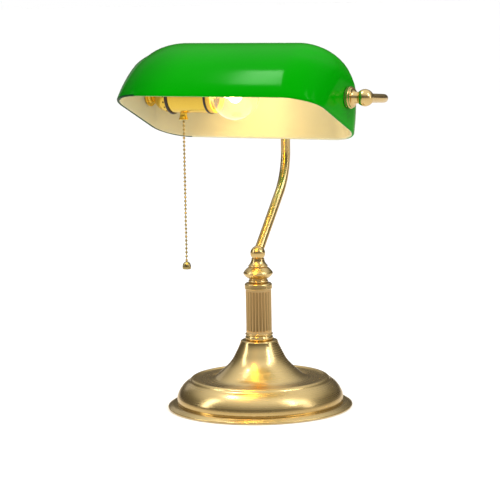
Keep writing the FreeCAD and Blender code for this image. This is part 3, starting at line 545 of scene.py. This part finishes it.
# %% Foot, spun from one sheet
SHEET = 1.2
foot_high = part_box("base_cover")[1]
foot_top, foot_r = foot_high.z / MM, foot_high.x / MM
trumpet = [
    (58.0, 29.2), (55.1, 29.3), (52.2, 29.6), (49.4, 30.2), (46.7, 31.2), (44.2, 32.6),
    (41.9, 34.4), (39.7, 36.3), (37.5, 38.2), (35.4, 40.2), (33.3, 42.1), (31.3, 44.2),
    (29.4, 46.4), (27.7, 48.8), (26.2, 51.2), (24.9, 53.8), (23.6, 56.4), (22.3, 59.0),
    (21.0, 61.6), (19.9, 64.3), (19.0, 67.0)]
foot = spun("foot_shell", outline(
    (90.4, 0.7), (foot_r - 0.6, 0.7), ((foot_r, 1.7), (foot_r - 0.9, 2.7)),
    ((88.85, 4.95), (84.2, 5.4)), ((84.6, 8.6), (84.1, 13.0)),
    ((79.4, 21.6), (71.3, 28.1)), ((70.5, 29.4), (69.0, 30.5)), ((67.4, 30.8), (65.6, 29.8)),
    *trumpet, ((18.4, foot_top - 0.5), (17.0, foot_top)), (5.2, foot_top)), steps=160)
give_wall(foot, SHEET)
hand_over(smooth(foot, 40), "base_cover")

# %% [markdown]
# Under the foot is a pad of pressed felt, glued to a steel plate. It is a plain disc whose
# edge has been worn round, so its outline has a generous curve where it meets the table.

# %% Felt pad
FELT = 1.6
felt_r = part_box("felt_pad")[1].x / MM
pad = spun("felt_sole", outline(
    (0, 0), (felt_r - 0.7, 0), ((felt_r - 0.1, 0.3), (felt_r, 0.8)),
    ((felt_r - 0.1, 1.3), (felt_r - 0.5, FELT)), (0, FELT)), steps=128)
hand_over(smooth(pad, 50), "felt_pad")

# %% [markdown]
# ## The column
# Threaded on a steel pipe, one above the other, are a collar, the fluted column, its cap, a
# lens-shaped knop, a small bell and the ball that turns the lamp into its leaning arm. Each
# is a separate turning with a bore for the pipe, so each outline starts and ends at the
# bore and closes on itself.

# %% Turned pieces on the pipe
BORE = 5.0
SOFT_EDGE, FINE_EDGE = 0.15, 0.12


def on_pipe(name, node, *steps):
    """A turned piece on the lamp pipe, by its outer outline with heights above its seat."""
    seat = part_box(node)[0].z / MM
    outer = [(r, seat + height) for r, height in outline(*steps)]
    piece = spun(name, closed([(BORE, outer[0][1]), *outer, (BORE, outer[-1][1])]))
    hand_over(smooth(ease_edges(piece, SOFT_EDGE)), node)


on_pipe("collar_ring", "foot_collar", (13.0, 0), ((14.2, 2.3), (13.2, 4.4)), (12.9, 4.8),
        (13.8, 5.4), ((14.1, 6.1), (13.5, 7.0)))
on_pipe("cap_ring", "column_cap", (13.1, 0), ((13.8, 0.4), (13.9, 1.2)), (13.9, 4.0),
        ((13.3, 5.5), (11.7, 6.2)))
on_pipe("knop", "stem_knop", (8.9, 0), ((10.0, 1.7), (8.9, 3.4)), (8.7, 4.1),
        ((12.4, 6.2), (14.9, 9.4)), ((15.0, 9.9), (14.9, 10.4)), ((12.9, 13.3), (9.2, 16.3)))
on_pipe("bell", "stem_bell", (9.1, 0), ((9.9, 0.7), (9.7, 1.6)), ((7.4, 4.6), (6.5, 8.6)))

# %% [markdown]
# The fluting is cut by a round-nosed cutter that plunges in, runs up the column and comes
# out again, 24 times. A round-ended rod has the shape that such a cut leaves: one ball is
# drawn out into a rod, copied round the column, and taken away from the turned blank.

# %% Fluted column
FLUTES, FLUTE_R, COLUMN_R = 24, 1.35, 13.0
PLAIN_END, SHALLOWER = 2.0, 0.35
col_low, col_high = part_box("fluted_column")
z0, z1 = col_low.z / MM, col_high.z / MM
column = spun("column_fluted", closed([(BORE, z0), (COLUMN_R, z0), (COLUMN_R, z1), (BORE, z1)]),
              steps=120)
bpy.ops.object.select_all(action="DESELECT")
bpy.ops.mesh.primitive_uv_sphere_add(segments=16, ring_count=10, radius=FLUTE_R * MM)
cutter = bpy.context.active_object
pick_faces(cutter, lambda f: f.center.z > 0)
run = z1 - z0 - 2 * PLAIN_END - 2 * FLUTE_R
bpy.ops.mesh.extrude_region_move(TRANSFORM_OT_translate={"value": (0, 0, run * MM)})
bpy.ops.mesh.select_all(action="SELECT")
at_surface = Vector((COLUMN_R + SHALLOWER, 0, z0 + PLAIN_END + FLUTE_R)) * MM
bpy.ops.transform.translate(value=at_surface)
close_up()
cut_with(column, ring_of(cutter, FLUTES, UPRIGHT, first=pi / FLUTES / 2))
hand_over(smooth(column, 40), "fluted_column")

# %% [markdown]
# The ball on top of the column is turned solid, flat below where it sits on the bell, and
# bored at a slant for the arm. The bore is hidden by the arm, so only the ball is shaped.

# %% Ball under the arm
BALL_R = 7.6
BALL_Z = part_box("arm_knuckle")[1].z / MM - BALL_R
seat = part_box("stem_bell")[1].z / MM
flat = sqrt(BALL_R ** 2 - (BALL_Z - seat) ** 2)
ball = spun("arm_ball", outline((0, seat), (flat, seat), ((BALL_R, BALL_Z), (0, BALL_Z + BALL_R))),
            steps=64)
hand_over(smooth(ease_edges(ball, SOFT_EDGE)), "arm_knuckle")

# %% [markdown]
# ## Arm and yoke
# Both are brass tube, bent on a former. A circle is extruded for each straight run, and for
# each bend its end ring is spun about the former's centre: the same two moves that the
# bender makes. Only the rings at the two ends are capped, where other pieces hide them.

# %% Bending a tube
TUBE_SIDES, BEND_STEPS = 40, 28


def start_tube(name, radius, at, way):
    """A ring of the tube's size at its first end, looking along its way."""
    bpy.ops.object.select_all(action="DESELECT")
    bpy.ops.mesh.primitive_circle_add(vertices=TUBE_SIDES, radius=radius * MM, location=at * MM,
                                      rotation=way.to_track_quat("Z", "Y").to_euler())
    piece = bpy.context.active_object
    piece.name = piece.data.name = name
    bpy.ops.object.transform_apply(location=True, rotation=True, scale=True)
    bpy.ops.object.mode_set(mode="EDIT")
    bpy.ops.mesh.select_mode(type="VERT")
    bpy.ops.mesh.select_all(action="SELECT")
    return piece


def straight(run):
    """Pushes the tube's open end along a vector in mm."""
    bpy.ops.mesh.extrude_region_move(TRANSFORM_OT_translate={"value": run * MM})


def bend(centre, axis, angle):
    """Carries the tube's open end round a former, by the right-hand rule about the axis."""
    bpy.ops.mesh.spin(steps=BEND_STEPS, angle=-radians(angle), center=centre * MM, axis=axis)


def end_tube(piece):
    """Caps both ends and turns the skin outwards."""
    bpy.ops.mesh.select_all(action="SELECT")
    bpy.ops.mesh.fill_holes(sides=0)
    close_up()
    return smooth(piece, 40)


# %% [markdown]
# The arm leans back from the ball, then turns upright under the yoke. Its run and its bend
# are worked out from the two places that it joins, and its ends stop inside the ball and
# inside the tee.

# %% Arm
LEAN, ARM_R, ARM_BEND = 42.2, 4.8, 65.0
INTO_BALL, INTO_TEE = 2.5, 6.0
hub_low, hub_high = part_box("yoke_hub")
HUB_R = 7.0
hub = Vector((0, (hub_low.y + hub_high.y) / 2, hub_high.z - HUB_R * MM)) / MM
way = Vector((0, sin(radians(LEAN)), cos(radians(LEAN))))
arm_start = Vector((0, 0, BALL_Z)) + way * INTO_BALL
corner = Vector((0, hub.y, BALL_Z + hub.y / way.y * way.z))
reach = ARM_BEND * sin(radians(LEAN)) / (1 + cos(radians(LEAN)))
bend_in = corner - way * reach
bend_out = corner + Vector((0, 0, reach))
arm = start_tube("arm", ARM_R, arm_start, way)
straight(bend_in - arm_start)
bend(bend_out - Vector((0, ARM_BEND, 0)), (1, 0, 0), LEAN)
straight(Vector((0, hub.y, hub.z - INTO_TEE)) - bend_out)
hand_over(end_tube(arm), "arm_tube", finish=satin_tube)
print("arm bends at", [round(v, 1) for v in bend_in], "and", [round(v, 1) for v in bend_out])

# %% [markdown]
# The yoke is one tube in a plane that falls a little towards the back: a leg, a quarter
# turn, the back bar, a quarter turn and the other leg.

# %% Yoke
PITCH, YOKE_R, YOKE_BEND = 4.0, 4.3, 57.0
LEG, INTO_KNUCKLE, KNUCKLE_R = 33.8, 5.4, 8.4
knuckle_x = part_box("knuckle_right")[1].x / MM - KNUCKLE_R
back = Vector((0, cos(radians(PITCH)), -sin(radians(PITCH))))
up = Vector((0, sin(radians(PITCH)), cos(radians(PITCH))))
axis_point = Vector((0, TILT_Y, TILT_Z)) / MM
left = axis_point - Vector((knuckle_x, 0, 0))
turn_at = left + back * LEG
leg = back * (LEG - INTO_KNUCKLE)
yoke = start_tube("yoke", YOKE_R, left + back * INTO_KNUCKLE, back)
straight(leg)
bend(turn_at + Vector((YOKE_BEND, 0, 0)), up, -90)
straight(Vector((2 * (knuckle_x - YOKE_BEND), 0, 0)))
bend(turn_at + Vector((2 * knuckle_x - YOKE_BEND, 0, 0)), up, -90)
straight(-leg)
hand_over(end_tube(yoke), "yoke_tube", finish=satin_tube)

# %% [markdown]
# Where they meet is a cast tee: a sleeve on the back bar and a socket below it. Two turned
# pieces are joined into one, and the corner is left as sharp as the casting's.

# %% Tee
HALF, DROP = hub_high.x / MM, hub.z - hub_low.z / MM


def eased_end(along):
    """The outline from an end face round its eased corner."""
    return (HUB_R - 0.6, along), ((HUB_R - 0.1, along + 0.15), (HUB_R, along + 0.6))


tee = spun("yoke_tee", outline(
    (0, -HALF), *eased_end(-HALF), (HUB_R, HALF - 0.6),
    ((HUB_R - 0.1, HALF - 0.15), (HUB_R - 0.6, HALF)), (0, HALF)), (hub * MM, "X"), steps=64)
boss = spun("boss", outline((0, -DROP), *eased_end(-DROP), (HUB_R, 0), (0, 0)),
            (hub * MM, "Z"), steps=64)
cut_with(tee, boss, "UNION")
hand_over(smooth(tee, 35), "yoke_hub", finish=satin_tube)

# %% [markdown]
# ## Knuckles and flanges
# At each end of the tilt axis the yoke ends in a ball, and a stepped flange with a cone and
# a neck clamps the shade to it. Both sides are the same turning, so each outline is written
# once and mirrored by its distances along the axis.

# %% Knuckles and flanges on both sides
NECK_R, PIN_R = 5.7, 4.95
face_x = knuckle_x - sqrt(KNUCKLE_R ** 2 - NECK_R ** 2)
flange_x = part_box("flange_right")[0].x / MM
step_x, cone_x = flange_x + 2.9, flange_x + 5.0
knuckle_line = outline((0, face_x), (NECK_R, face_x),
                       ((KNUCKLE_R, knuckle_x), (0, knuckle_x + KNUCKLE_R), 20))
clamp_line = closed(outline(
    (PIN_R, flange_x), (PIN_R, face_x), (NECK_R, face_x), (NECK_R + 0.1, cone_x + 2.6),
    ((NECK_R + 1.2, cone_x + 1.0), (9.0, cone_x)), ((9.6, cone_x - 0.2), (9.8, cone_x - 0.8)),
    (9.8, step_x + 0.1), (10.4, step_x), ((10.7, step_x - 0.2), (10.8, step_x - 0.6)),
    (10.8, flange_x + 0.5), ((10.7, flange_x + 0.1), (10.3, flange_x))))
for side, word in ((1, "right"), (-1, "left")):
    for name, node, line, steps in (("knuckle_ball_", "knuckle_", knuckle_line, 64),
                                    ("shade_clamp_", "flange_", clamp_line, 80)):
        turned = spun(name + word, [(r, x * side) for r, x in line], TILT, steps)
        hand_over(smooth(ease_edges(turned, SOFT_EDGE)), node + word, finish=satin_side)

# %% [markdown]
# The fibre bushings, washers and lock nuts of the clamp are plain rings whose frame nodes
# are already right, and so is the gland at the back of the foot. Their triangles are loose,
# so a merged copy of each is shaded smoothly.

# %% Small rings that are kept as they are
for word in ("left", "right"):
    for node in ("grommet_", "inner_washer_", "lock_nut_"):
        refined(node + word)
refined("cord_gland")

# %% [markdown]
# ## The shade
# The glass is blown into a mould: a rounded rectangle at the rim that narrows to a ridge at
# the crown, as half an ellipse across and with ends that stand upright before they draw in.
# No primitive has that shape. A plane whose four corners are rounded by a vertex bevel gives
# the outline at one height, and a stack of such outlines is bridged into a skin. The corner
# grows with the height, which scaling one outline could not give.

# %% Outlines of the glass, stacked and bridged
LONG, DEEP, TALL = 225.0, 129.4, 78.5
END_FLAT, END_DRAW, CROWN_LEAN = 40.0, 56.0, 10.0
CORNER, CORNER_GROW, WIDEST_CORNER = 32.8, 0.22, 0.95
SAME_HEIGHT = 0.01


def pick_vertices(piece, wanted):
    """In edit mode: selects only the vertices whose place passes the test."""
    bpy.ops.mesh.select_all(action="DESELECT")
    bpy.ops.object.mode_set(mode="OBJECT")
    for v in piece.data.vertices:
        v.select = wanted(v.co / MM)
    bpy.ops.object.mode_set(mode="EDIT")


def add_outline(height):
    """One rounded rectangle of the glass, in edit mode, as an open ring."""
    across = DEEP / 2 * sqrt(1 - (height / TALL) ** 2)
    above = max(0.0, (height - END_FLAT) / (TALL - END_FLAT))
    half = LONG / 2 - END_DRAW * (1 - sqrt(1 - above ** 2))
    corner = min(CORNER + CORNER_GROW * height, WIDEST_CORNER * across)
    centre = Vector((0, CROWN_LEAN * height / TALL, height)) * MM
    bpy.ops.mesh.select_all(action="DESELECT")
    bpy.ops.mesh.primitive_plane_add(size=2 * MM, location=centre)
    bpy.ops.transform.resize(value=(half, across, 1), center_override=centre)
    bpy.ops.mesh.bevel(offset=corner * MM, offset_type="OFFSET", affect="VERTICES",
                       segments=14, profile=0.5)
    bpy.ops.mesh.delete(type="ONLY_FACE")


shade = start_piece("shade")
bpy.ops.mesh.delete(type="VERT")
heights = [TALL * sin(radians(a)) for a in (
    *range(0, 64, 4), 63.5, 67, 70, 73, 76, 79, 81.5, 84, 86, 88)]
for below, height in zip([None] + heights, heights):
    add_outline(height)
    if below is not None:
        pick_vertices(shade, lambda p: min(abs(p.z - below), abs(p.z - height)) < SAME_HEIGHT)
        bpy.ops.mesh.bridge_edge_loops()
pick_vertices(shade, lambda p: abs(p.z - heights[-1]) < SAME_HEIGHT)
bpy.ops.mesh.edge_face_add()
close_up()
print("outlines:", len(heights), "faces:", len(shade.data.polygons))

# %% [markdown]
# Cased glass is white glass dipped in a skin of green, so it is one wall with two colours:
# the wall is given inwards, and its inner and rim faces take the second finish. The rim is
# fire-polished, so its edges are eased; its outer round takes the casing's colour again, and
# toward the left end its faces are painted near black, as painted shade on the rim.

# %% Wall and rim
WALL, RIM_ROUND, RIM_TOP = 3.5, 1.3, 1.25
SHADED_RIM_PAST = -50.0
OPAL, RIM_SHADE = 1, 2


def leans_out(face):
    """True for a face of the rim's outer round, which looks away from the shade's middle."""
    return face.normal.x * face.center.x + face.normal.y * face.center.y > 1e-4 * MM


def shaded_rim(face):
    """True for a face of the rim's left end that looks out or straight down, which takes the
    painted shade.
    """
    return face.center.x < SHADED_RIM_PAST * MM and (leans_out(face) or face.normal.z < -0.7)


for layer in (finishes["cased_glass"], opal, painted_rim_shade):
    shade.data.materials.append(layer)
give_wall(shade, WALL, material_offset=OPAL, material_offset_rim=OPAL)
ease_edges(shade, RIM_ROUND, segments=4, angle=50)
# The rim's outer round takes the green again, and its left end the painted shade.
for finish_index, wanted in ((0, leans_out), (RIM_SHADE, shaded_rim)):
    pick_faces(shade, lambda f: f.center.z < RIM_TOP * MM and f.normal.z < -0.05 and wanted(f))
    shade.active_material_index = finish_index
    bpy.ops.object.material_slot_assign()
    bpy.ops.object.mode_set(mode="OBJECT")
for index, layer in enumerate(shade.data.materials):
    print(layer.name, sum(f.material_index == index for f in shade.data.polygons), "faces")

# %% [markdown]
# The glass has been built standing on its rim. It is moved so that its pivot lies at the
# tilt axis, turned to the angle that it is stored at, and only then drilled for the pivots,
# right through both ends along the axis.

# %% Tilt and pivot holes
HINGE_BACK, HINGE_UP, SHADE_TILT = 12.6, 26.9, 22.9
PIVOT_R = 6.6
for v in shade.data.vertices:
    v.co -= Vector((0, HINGE_BACK, HINGE_UP)) * MM
shade.location = (0, TILT_Y, TILT_Z)
shade.rotation_euler.x = radians(-SHADE_TILT)
only(shade)
bpy.ops.object.transform_apply(location=True, rotation=True, scale=True)
drill = spun("drill", [(0, -LONG), (PIVOT_R, -LONG), (PIVOT_R, LONG), (0, LONG)], TILT, steps=48)
cut_with(shade, drill)
hand_over(smooth(shade, 30), "shade_glass")

# %% [markdown]
# ## The socket
# The socket lies along the tilt axis: a flared cap with a ring of vents, a drawn shell, two
# dark rings over the joints, an insulating collar at the mouth, and the spout that the
# chain comes out of. Distances along the axis are read from the frame nodes.

# %% Cap with its vents
SHELL_R, SOCKET_SHEET = 17.2, 0.8
VENTS, VENT_R, VENT_BACK, VENT_OUT, VENT_DEPTH = 18, 0.95, 3.6, 18.0, 12.0
cap_low, cap_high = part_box("socket_cap")
cap_x, split_x = cap_low.x / MM, cap_high.x / MM
hub_x = cap_x + 2.6
cap = spun("socket_end_cap", closed(outline(
    (PIN_R, cap_x), (6.3, cap_x), (6.3, hub_x), (7.2, hub_x),
    ((13.6, hub_x + 6.2), (SHELL_R - 0.4, split_x - 4.5), 14), (SHELL_R, split_x),
    (SHELL_R - SOCKET_SHEET, split_x), (SHELL_R - 1.2, split_x - 3.7),
    ((12.8, hub_x + 7.0), (6.4, hub_x + 0.8), 14), (PIN_R, hub_x + 0.8))), TILT)
bpy.ops.object.select_all(action="DESELECT")
bpy.ops.mesh.primitive_cylinder_add(vertices=20, radius=VENT_R * MM, depth=VENT_DEPTH * MM)
vent = bpy.context.active_object
vent.location = TILT[0] + Vector((split_x - VENT_BACK, 0, VENT_OUT)) * MM
bpy.ops.object.transform_apply(location=True, rotation=True, scale=True)
cut_with(cap, ring_of(vent, VENTS, TILT, first=pi / VENTS))
hand_over(smooth(ease_edges(cap, FINE_EDGE, angle=40)), "socket_cap")

# %% [markdown]
# The shell is a short drawn tube. The spout goes through it, and a real shell has a lip
# pressed round that hole, but the spout's own flare covers it. The spout is already right
# in the frame, so it is only merged and shaded.

# %% Shell and spout
inner_r, shell_start, shell_end = SHELL_R - SOCKET_SHEET, split_x + 0.1, shell_high.x / MM
drawn = spun("socket_tube", closed([(SHELL_R, shell_start), (SHELL_R, shell_end),
                                    (inner_r, shell_end), (inner_r, shell_start)]), TILT)
spout_low, spout_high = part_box("chain_nozzle")
spout_x = spout_low.x / 2 + spout_high.x / 2
hole = spun("hole", [(0, -30.0), (3.5, -30.0), (3.5, -14.0), (0, -14.0)],
            (Vector((spout_x, TILT_Y, TILT_Z)), "Z"), steps=32)
cut_with(drawn, hole)
hand_over(smooth(drawn), "socket_shell")
refined("chain_nozzle")

# %% [markdown]
# Two dark rings cover the joints at the ends of the shell. Past the second one is the
# insulating collar that the bulb is screwed in through, with a step that stands out a little.

# %% Dark rings and collar
def along_axis(node):
    """Where a node starts and ends along the tilt axis, in mm."""
    low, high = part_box(node)
    return low.x / MM, high.x / MM


def band(name, node, peak, edge):
    """A dark ring whose face swells between its two edges."""
    x0, x1 = along_axis(node)
    ring = spun(name, closed(outline(
        (SHELL_R + 0.1, x0), (edge, x0), ((peak, (x0 + x1) / 2), (edge, x1)),
        (SHELL_R + 0.1, x1))), TILT)
    hand_over(smooth(ease_edges(ring, FINE_EDGE)), node)


band("joint_ring", "split_ring", 18.8, 18.1)
band("mouth_band", "mouth_ring", 17.9, 17.5)
x0, x1 = along_axis("mouth_collar")
collar = spun("bulb_collar", closed(outline(
    (14.6, x0), (16.2, x0), (16.2, x0 + 0.9), (17.0, x0 + 0.9), (17.0, x1 - 1.0),
    ((16.8, x1 - 0.3), (16.3, x1)), (14.6, x1))), TILT)
hand_over(smooth(ease_edges(collar, FINE_EDGE)), "mouth_collar")

# %% [markdown]
# ## The bulb
# A clear globe on a short neck, blown in one piece. Its skin is drawn as one open line from
# the globe's pole to the neck and given a wall of about half a millimetre. The mount, the
# glowing coil, the screw cap and the shell that it screws into are kept from the frame,
# smoothly shaded.

# %% Bulb
NECK_OF_BULB, BULB_WALL = 12.7, 0.55
env_low, env_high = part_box("bulb_envelope")
GLOBE_R = (env_high.z - env_low.z) / MM / 2
bulb_x, tail_x = env_high.x / MM - GLOBE_R, env_low.x / MM
join_x = bulb_x - sqrt(GLOBE_R ** 2 - NECK_OF_BULB ** 2)
globe = spun("bulb_globe", outline(
    (0, bulb_x + GLOBE_R), ((GLOBE_R, bulb_x), (NECK_OF_BULB, join_x), 40),
    (12.2, tail_x + 3.0), (11.1, tail_x + 0.5), (11.1, tail_x)), TILT)
give_wall(globe, BULB_WALL)
hand_over(smooth(globe, 40), "bulb_envelope")
for node in ("filament_stem", "filament", "bulb_cap", "screw_shell"):
    refined(node)

# %% [markdown]
# ## Chain and knob
# Bead chain is hollow balls crimped on short wires. One ball and its wire are modelled, low
# in faces because there are dozens, and an Array drops copies of them down the chain.

# %% Bead chain
BEAD_R, LINK_R, BEAD_PITCH, BEADS, BARE_LINK, LINK_GAP = 1.35, 0.45, 4.02, 36, 0.45, 0.02
chain_low, chain_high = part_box("pull_chain")
chain_at = Vector(((chain_low.x + chain_high.x) / 2, TILT_Y, 0))
side = sqrt(BEAD_R ** 2 - LINK_R ** 2)
first_z = chain_high.z / MM - side - BARE_LINK
bead = spun("bead_chain", outline(
    (0, side + BARE_LINK), (LINK_R, side + BARE_LINK), (LINK_R, side),
    ((BEAD_R, 0), (LINK_R, -side)), (LINK_R, side - BEAD_PITCH + LINK_GAP)),
    (chain_at + Vector((0, 0, first_z * MM)), "Z"), steps=14)
modify(bead, "ARRAY", count=BEADS, use_relative_offset=False, use_constant_offset=True,
       constant_offset_displace=(0, 0, -BEAD_PITCH * MM))
hand_over(smooth(bead, 40), "pull_chain")

# %% [markdown]
# The knob is a small bell, turned solid and drilled at the top for the last wire.

# %% Knob
KNOB_R = 4.4
knob_low, knob_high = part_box("chain_knob")
top, low = knob_high.z / MM, knob_low.z / MM
knob = spun("bell_knob", outline(
    (0.5, top - 1.0), (0.5, top), (1.3, top),
    ((KNOB_R * 0.72, top - 1.4), (KNOB_R * 0.95, top - 4.0)),
    ((KNOB_R, top - 5.8), (KNOB_R - 0.1, low + 1.1)),
    ((KNOB_R - 0.3, low + 0.3), (KNOB_R - 1.1, low)), (0, low + 0.3)), (chain_at, "Z"), steps=48)
hand_over(smooth(ease_edges(knob, 0.1)), "chain_knob")

# %% [markdown]
# ## What stays from the frame
# The weight, the steel pipe, the switch and the rest of the works are out of sight. Their
# nodes are kept as they are, each in its own finish.

# %% Finishes for the nodes that are kept
for name, node in frame["nodes"].items():
    node.data.materials.clear()
    node.data.materials.append(finishes[node_slot[name]])
print(len(frame["nodes"]) - len(pieces), "nodes show as they are")

# %% [markdown]
# ## Studio
# The lamp stands on a plain pale floor, white enough to run into the background. Polished
# brass would pick the floor up as one bright field, so the floor is left out of reflections
# and the room below stands in for it.

# %% Floor
FLOOR_R = 40.0
bpy.ops.object.select_all(action="DESELECT")
bpy.ops.mesh.primitive_circle_add(vertices=96, radius=FLOOR_R, fill_type="NGON")
floor = bpy.context.active_object
floor.name = "floor"
floor.data.materials.append(stuff("Pale floor", (0.93, 0.93, 0.93), (0.92, 0.92, 0.92),
                                  (0.7, 0.8), drift=2.0, grain=200.0, bump=0.02))
floor.visible_glossy = False

# %% [markdown]
# Brass only looks like brass when it has something dark to mirror next to something bright.
# So the world is three backgrounds: plain white behind the lamp, a sky that lights it from
# the right and above, and a room that only reflections see, bright below and overhead and
# dark from the horizon most of the way up. Both gradients go by the angle from one direction.

# %% Room
world = bpy.data.worlds.new("Room")
bpy.context.scene.world = world
world.use_nodes = True
tree = world.node_tree
backdrop = tree.nodes["Background"]
backdrop.inputs["Color"].default_value = (1.0, 1.0, 1.0, 1)
looking = tree.nodes.new("ShaderNodeTexCoord")
ray = tree.nodes.new("ShaderNodeLightPath")


def gradient(towards, *stops):
    """A background whose colour goes from 0, away from a direction, to 1, towards it."""
    lean = tree.nodes.new("ShaderNodeVectorMath")
    lean.operation = "DOT_PRODUCT"
    lean.inputs[1].default_value = Vector(towards).normalized()
    ramp = tree.nodes.new("ShaderNodeValToRGB")
    light = tree.nodes.new("ShaderNodeBackground")
    shift = tree.nodes.new("ShaderNodeMath")
    shift.operation = "MULTIPLY_ADD"
    shift.inputs[1].default_value = shift.inputs[2].default_value = 0.5
    tree.links.new(looking.outputs["Generated"], lean.inputs[0])
    tree.links.new(lean.outputs["Value"], shift.inputs[0])
    tree.links.new(shift.outputs[0], ramp.inputs["Fac"])
    tree.links.new(ramp.outputs["Color"], light.inputs["Color"])
    while len(ramp.color_ramp.elements) < len(stops):
        ramp.color_ramp.elements.new(0.5)
    for element, (position, colour) in zip(ramp.color_ramp.elements, stops):
        element.position, element.color = position, (*colour, 1)
    return light


def choose(fact, otherwise, chosen):
    """One background for the rays that the fact holds for, and another for the rest."""
    mix = tree.nodes.new("ShaderNodeMixShader")
    tree.links.new(ray.outputs[fact], mix.inputs["Fac"])
    tree.links.new(otherwise.outputs[0], mix.inputs[1])
    tree.links.new(chosen.outputs[0], mix.inputs[2])
    return mix


RIGHT_AND_ABOVE, STRAIGHT_UP = (0.75, -0.30, 0.60), (0, 0, 1)
sky = gradient(RIGHT_AND_ABOVE, (0.5, (0.26, 0.26, 0.26)), (1.0, (1.0, 1.0, 1.0)))
sky.inputs["Strength"].default_value = 2.0
room = gradient(STRAIGHT_UP, (0.0, (1.1, 1.05, 0.98)), (0.45, (0.88, 0.80, 0.68)),
                (0.51, (0.06, 0.05, 0.04)), (0.7, (0.17, 0.16, 0.13)), (0.92, (1.0, 1.0, 0.97)))
seen = choose("Is Camera Ray", choose("Is Glossy Ray", sky, room), backdrop)
tree.links.new(seen.outputs[0], tree.nodes["World Output"].inputs["Surface"])
bpy.context.scene.view_settings.view_transform = "Standard"
print("room of", len(tree.nodes), "nodes")

# %% [markdown]
# Soft boxes give the brass its long highlights: a tall one on each side of the lamp, a weak
# one behind it for the edges, and two narrow strips above. The left strip makes the band of
# light along the front of the shade, and is rolled to lie along it.

# %% Soft boxes
def soft_box(name, place, aim, size, power, roll=0):
    """A rectangular area light that looks at a point, rolled about the way it looks."""
    light = bpy.data.lights.new(name, "AREA")
    light.shape = "RECTANGLE"
    light.size, light.size_y = size
    light.energy = power
    holder = bpy.data.objects.new(name, light)
    holder.location = place
    holder.rotation_euler = (Vector(aim) - Vector(place)).to_track_quat("-Z", "Y").to_euler()
    holder.rotation_euler.rotate_axis("Z", radians(roll))
    holder.visible_camera = False
    bpy.context.collection.objects.link(holder)
    return light


FOOT_AIM, COLUMN_AIM, SHADE_AIM = (0, 0, 0.1), (0, 0, 0.2), (0, 0, 0.3)
soft_box("key", (-1.3, -0.9, 0.9), COLUMN_AIM, (0.28, 1.3), 4.5)
soft_box("fill", (1.6, 0.2, 0.8), COLUMN_AIM, (0.30, 1.2), 3.5)
soft_box("strip_left", (-0.62, -0.30, 1.78), SHADE_AIM, (0.13, 0.5), 6, roll=60)
soft_box("behind", (-1.5, 1.1, 0.7), FOOT_AIM, (0.6, 0.6), 0.4)
soft_box("strip_right", (1.35, -0.25, 1.3), COLUMN_AIM, (0.12, 0.8), 4.5)
print(len(bpy.data.lights), "soft boxes")

# %% [markdown]
# The bulb is lit. A small warm lamp sits in the globe, whose skin lets its light out, and
# fills the opal lining. A weak amber box below the shade is the part of that light that
# falls on the foot, where it shows as a yellow gleam.

# %% Light of the bulb
INCANDESCENT, AMBER = (1.0, 0.72, 0.30), (1.0, 0.52, 0.03)
glow = bpy.data.lights.new("bulb_glow", "POINT")
glow.energy, glow.color, glow.shadow_soft_size = 0.080, INCANDESCENT, 0.007
glow_at = bpy.data.objects.new("bulb_glow", glow)
glow_at.location = Vector((bulb_x * MM, TILT_Y, TILT_Z))
bpy.context.collection.objects.link(glow_at)
globe.visible_shadow = False
below_bulb = glow_at.location + Vector((0, -0.09, -0.045))
spill = soft_box("bulb_spill", below_bulb, (0, 0, 0.03), (0.020, 0.09), 0.15)
spill.color = AMBER
print("bulb lit at x %.1f mm" % bulb_x)

# %% [markdown]
# ## Camera
# A long lens from a little above the shade and well round to the lamp's right, with the
# camera rolled by one degree. A long lens keeps the foot's ellipse flat and the shade's ends
# nearly parallel.

# %% Camera
YAW, DIP, ROLL = radians(27.138), radians(7.47), radians(-1.008)
CAMERA_AT, LENS, FILM = (0.92410, -1.82005, 0.42832), 146.48, 36.0
ahead = Vector((-sin(YAW) * cos(DIP), cos(YAW) * cos(DIP), -sin(DIP)))
right = Vector((cos(YAW), sin(YAW), 0))
above = right.cross(ahead)
rolled_right = right * cos(ROLL) + above * sin(ROLL)
rolled_up = above * cos(ROLL) - right * sin(ROLL)
camera = bpy.data.objects.new("camera", bpy.data.cameras.new("camera"))
camera.data.sensor_width, camera.data.lens = FILM, LENS
turned = Matrix((rolled_right, rolled_up, -ahead)).transposed().to_4x4()
camera.matrix_world = Matrix.Translation(CAMERA_AT) @ turned
bpy.context.collection.objects.link(camera)
bpy.context.scene.camera = camera
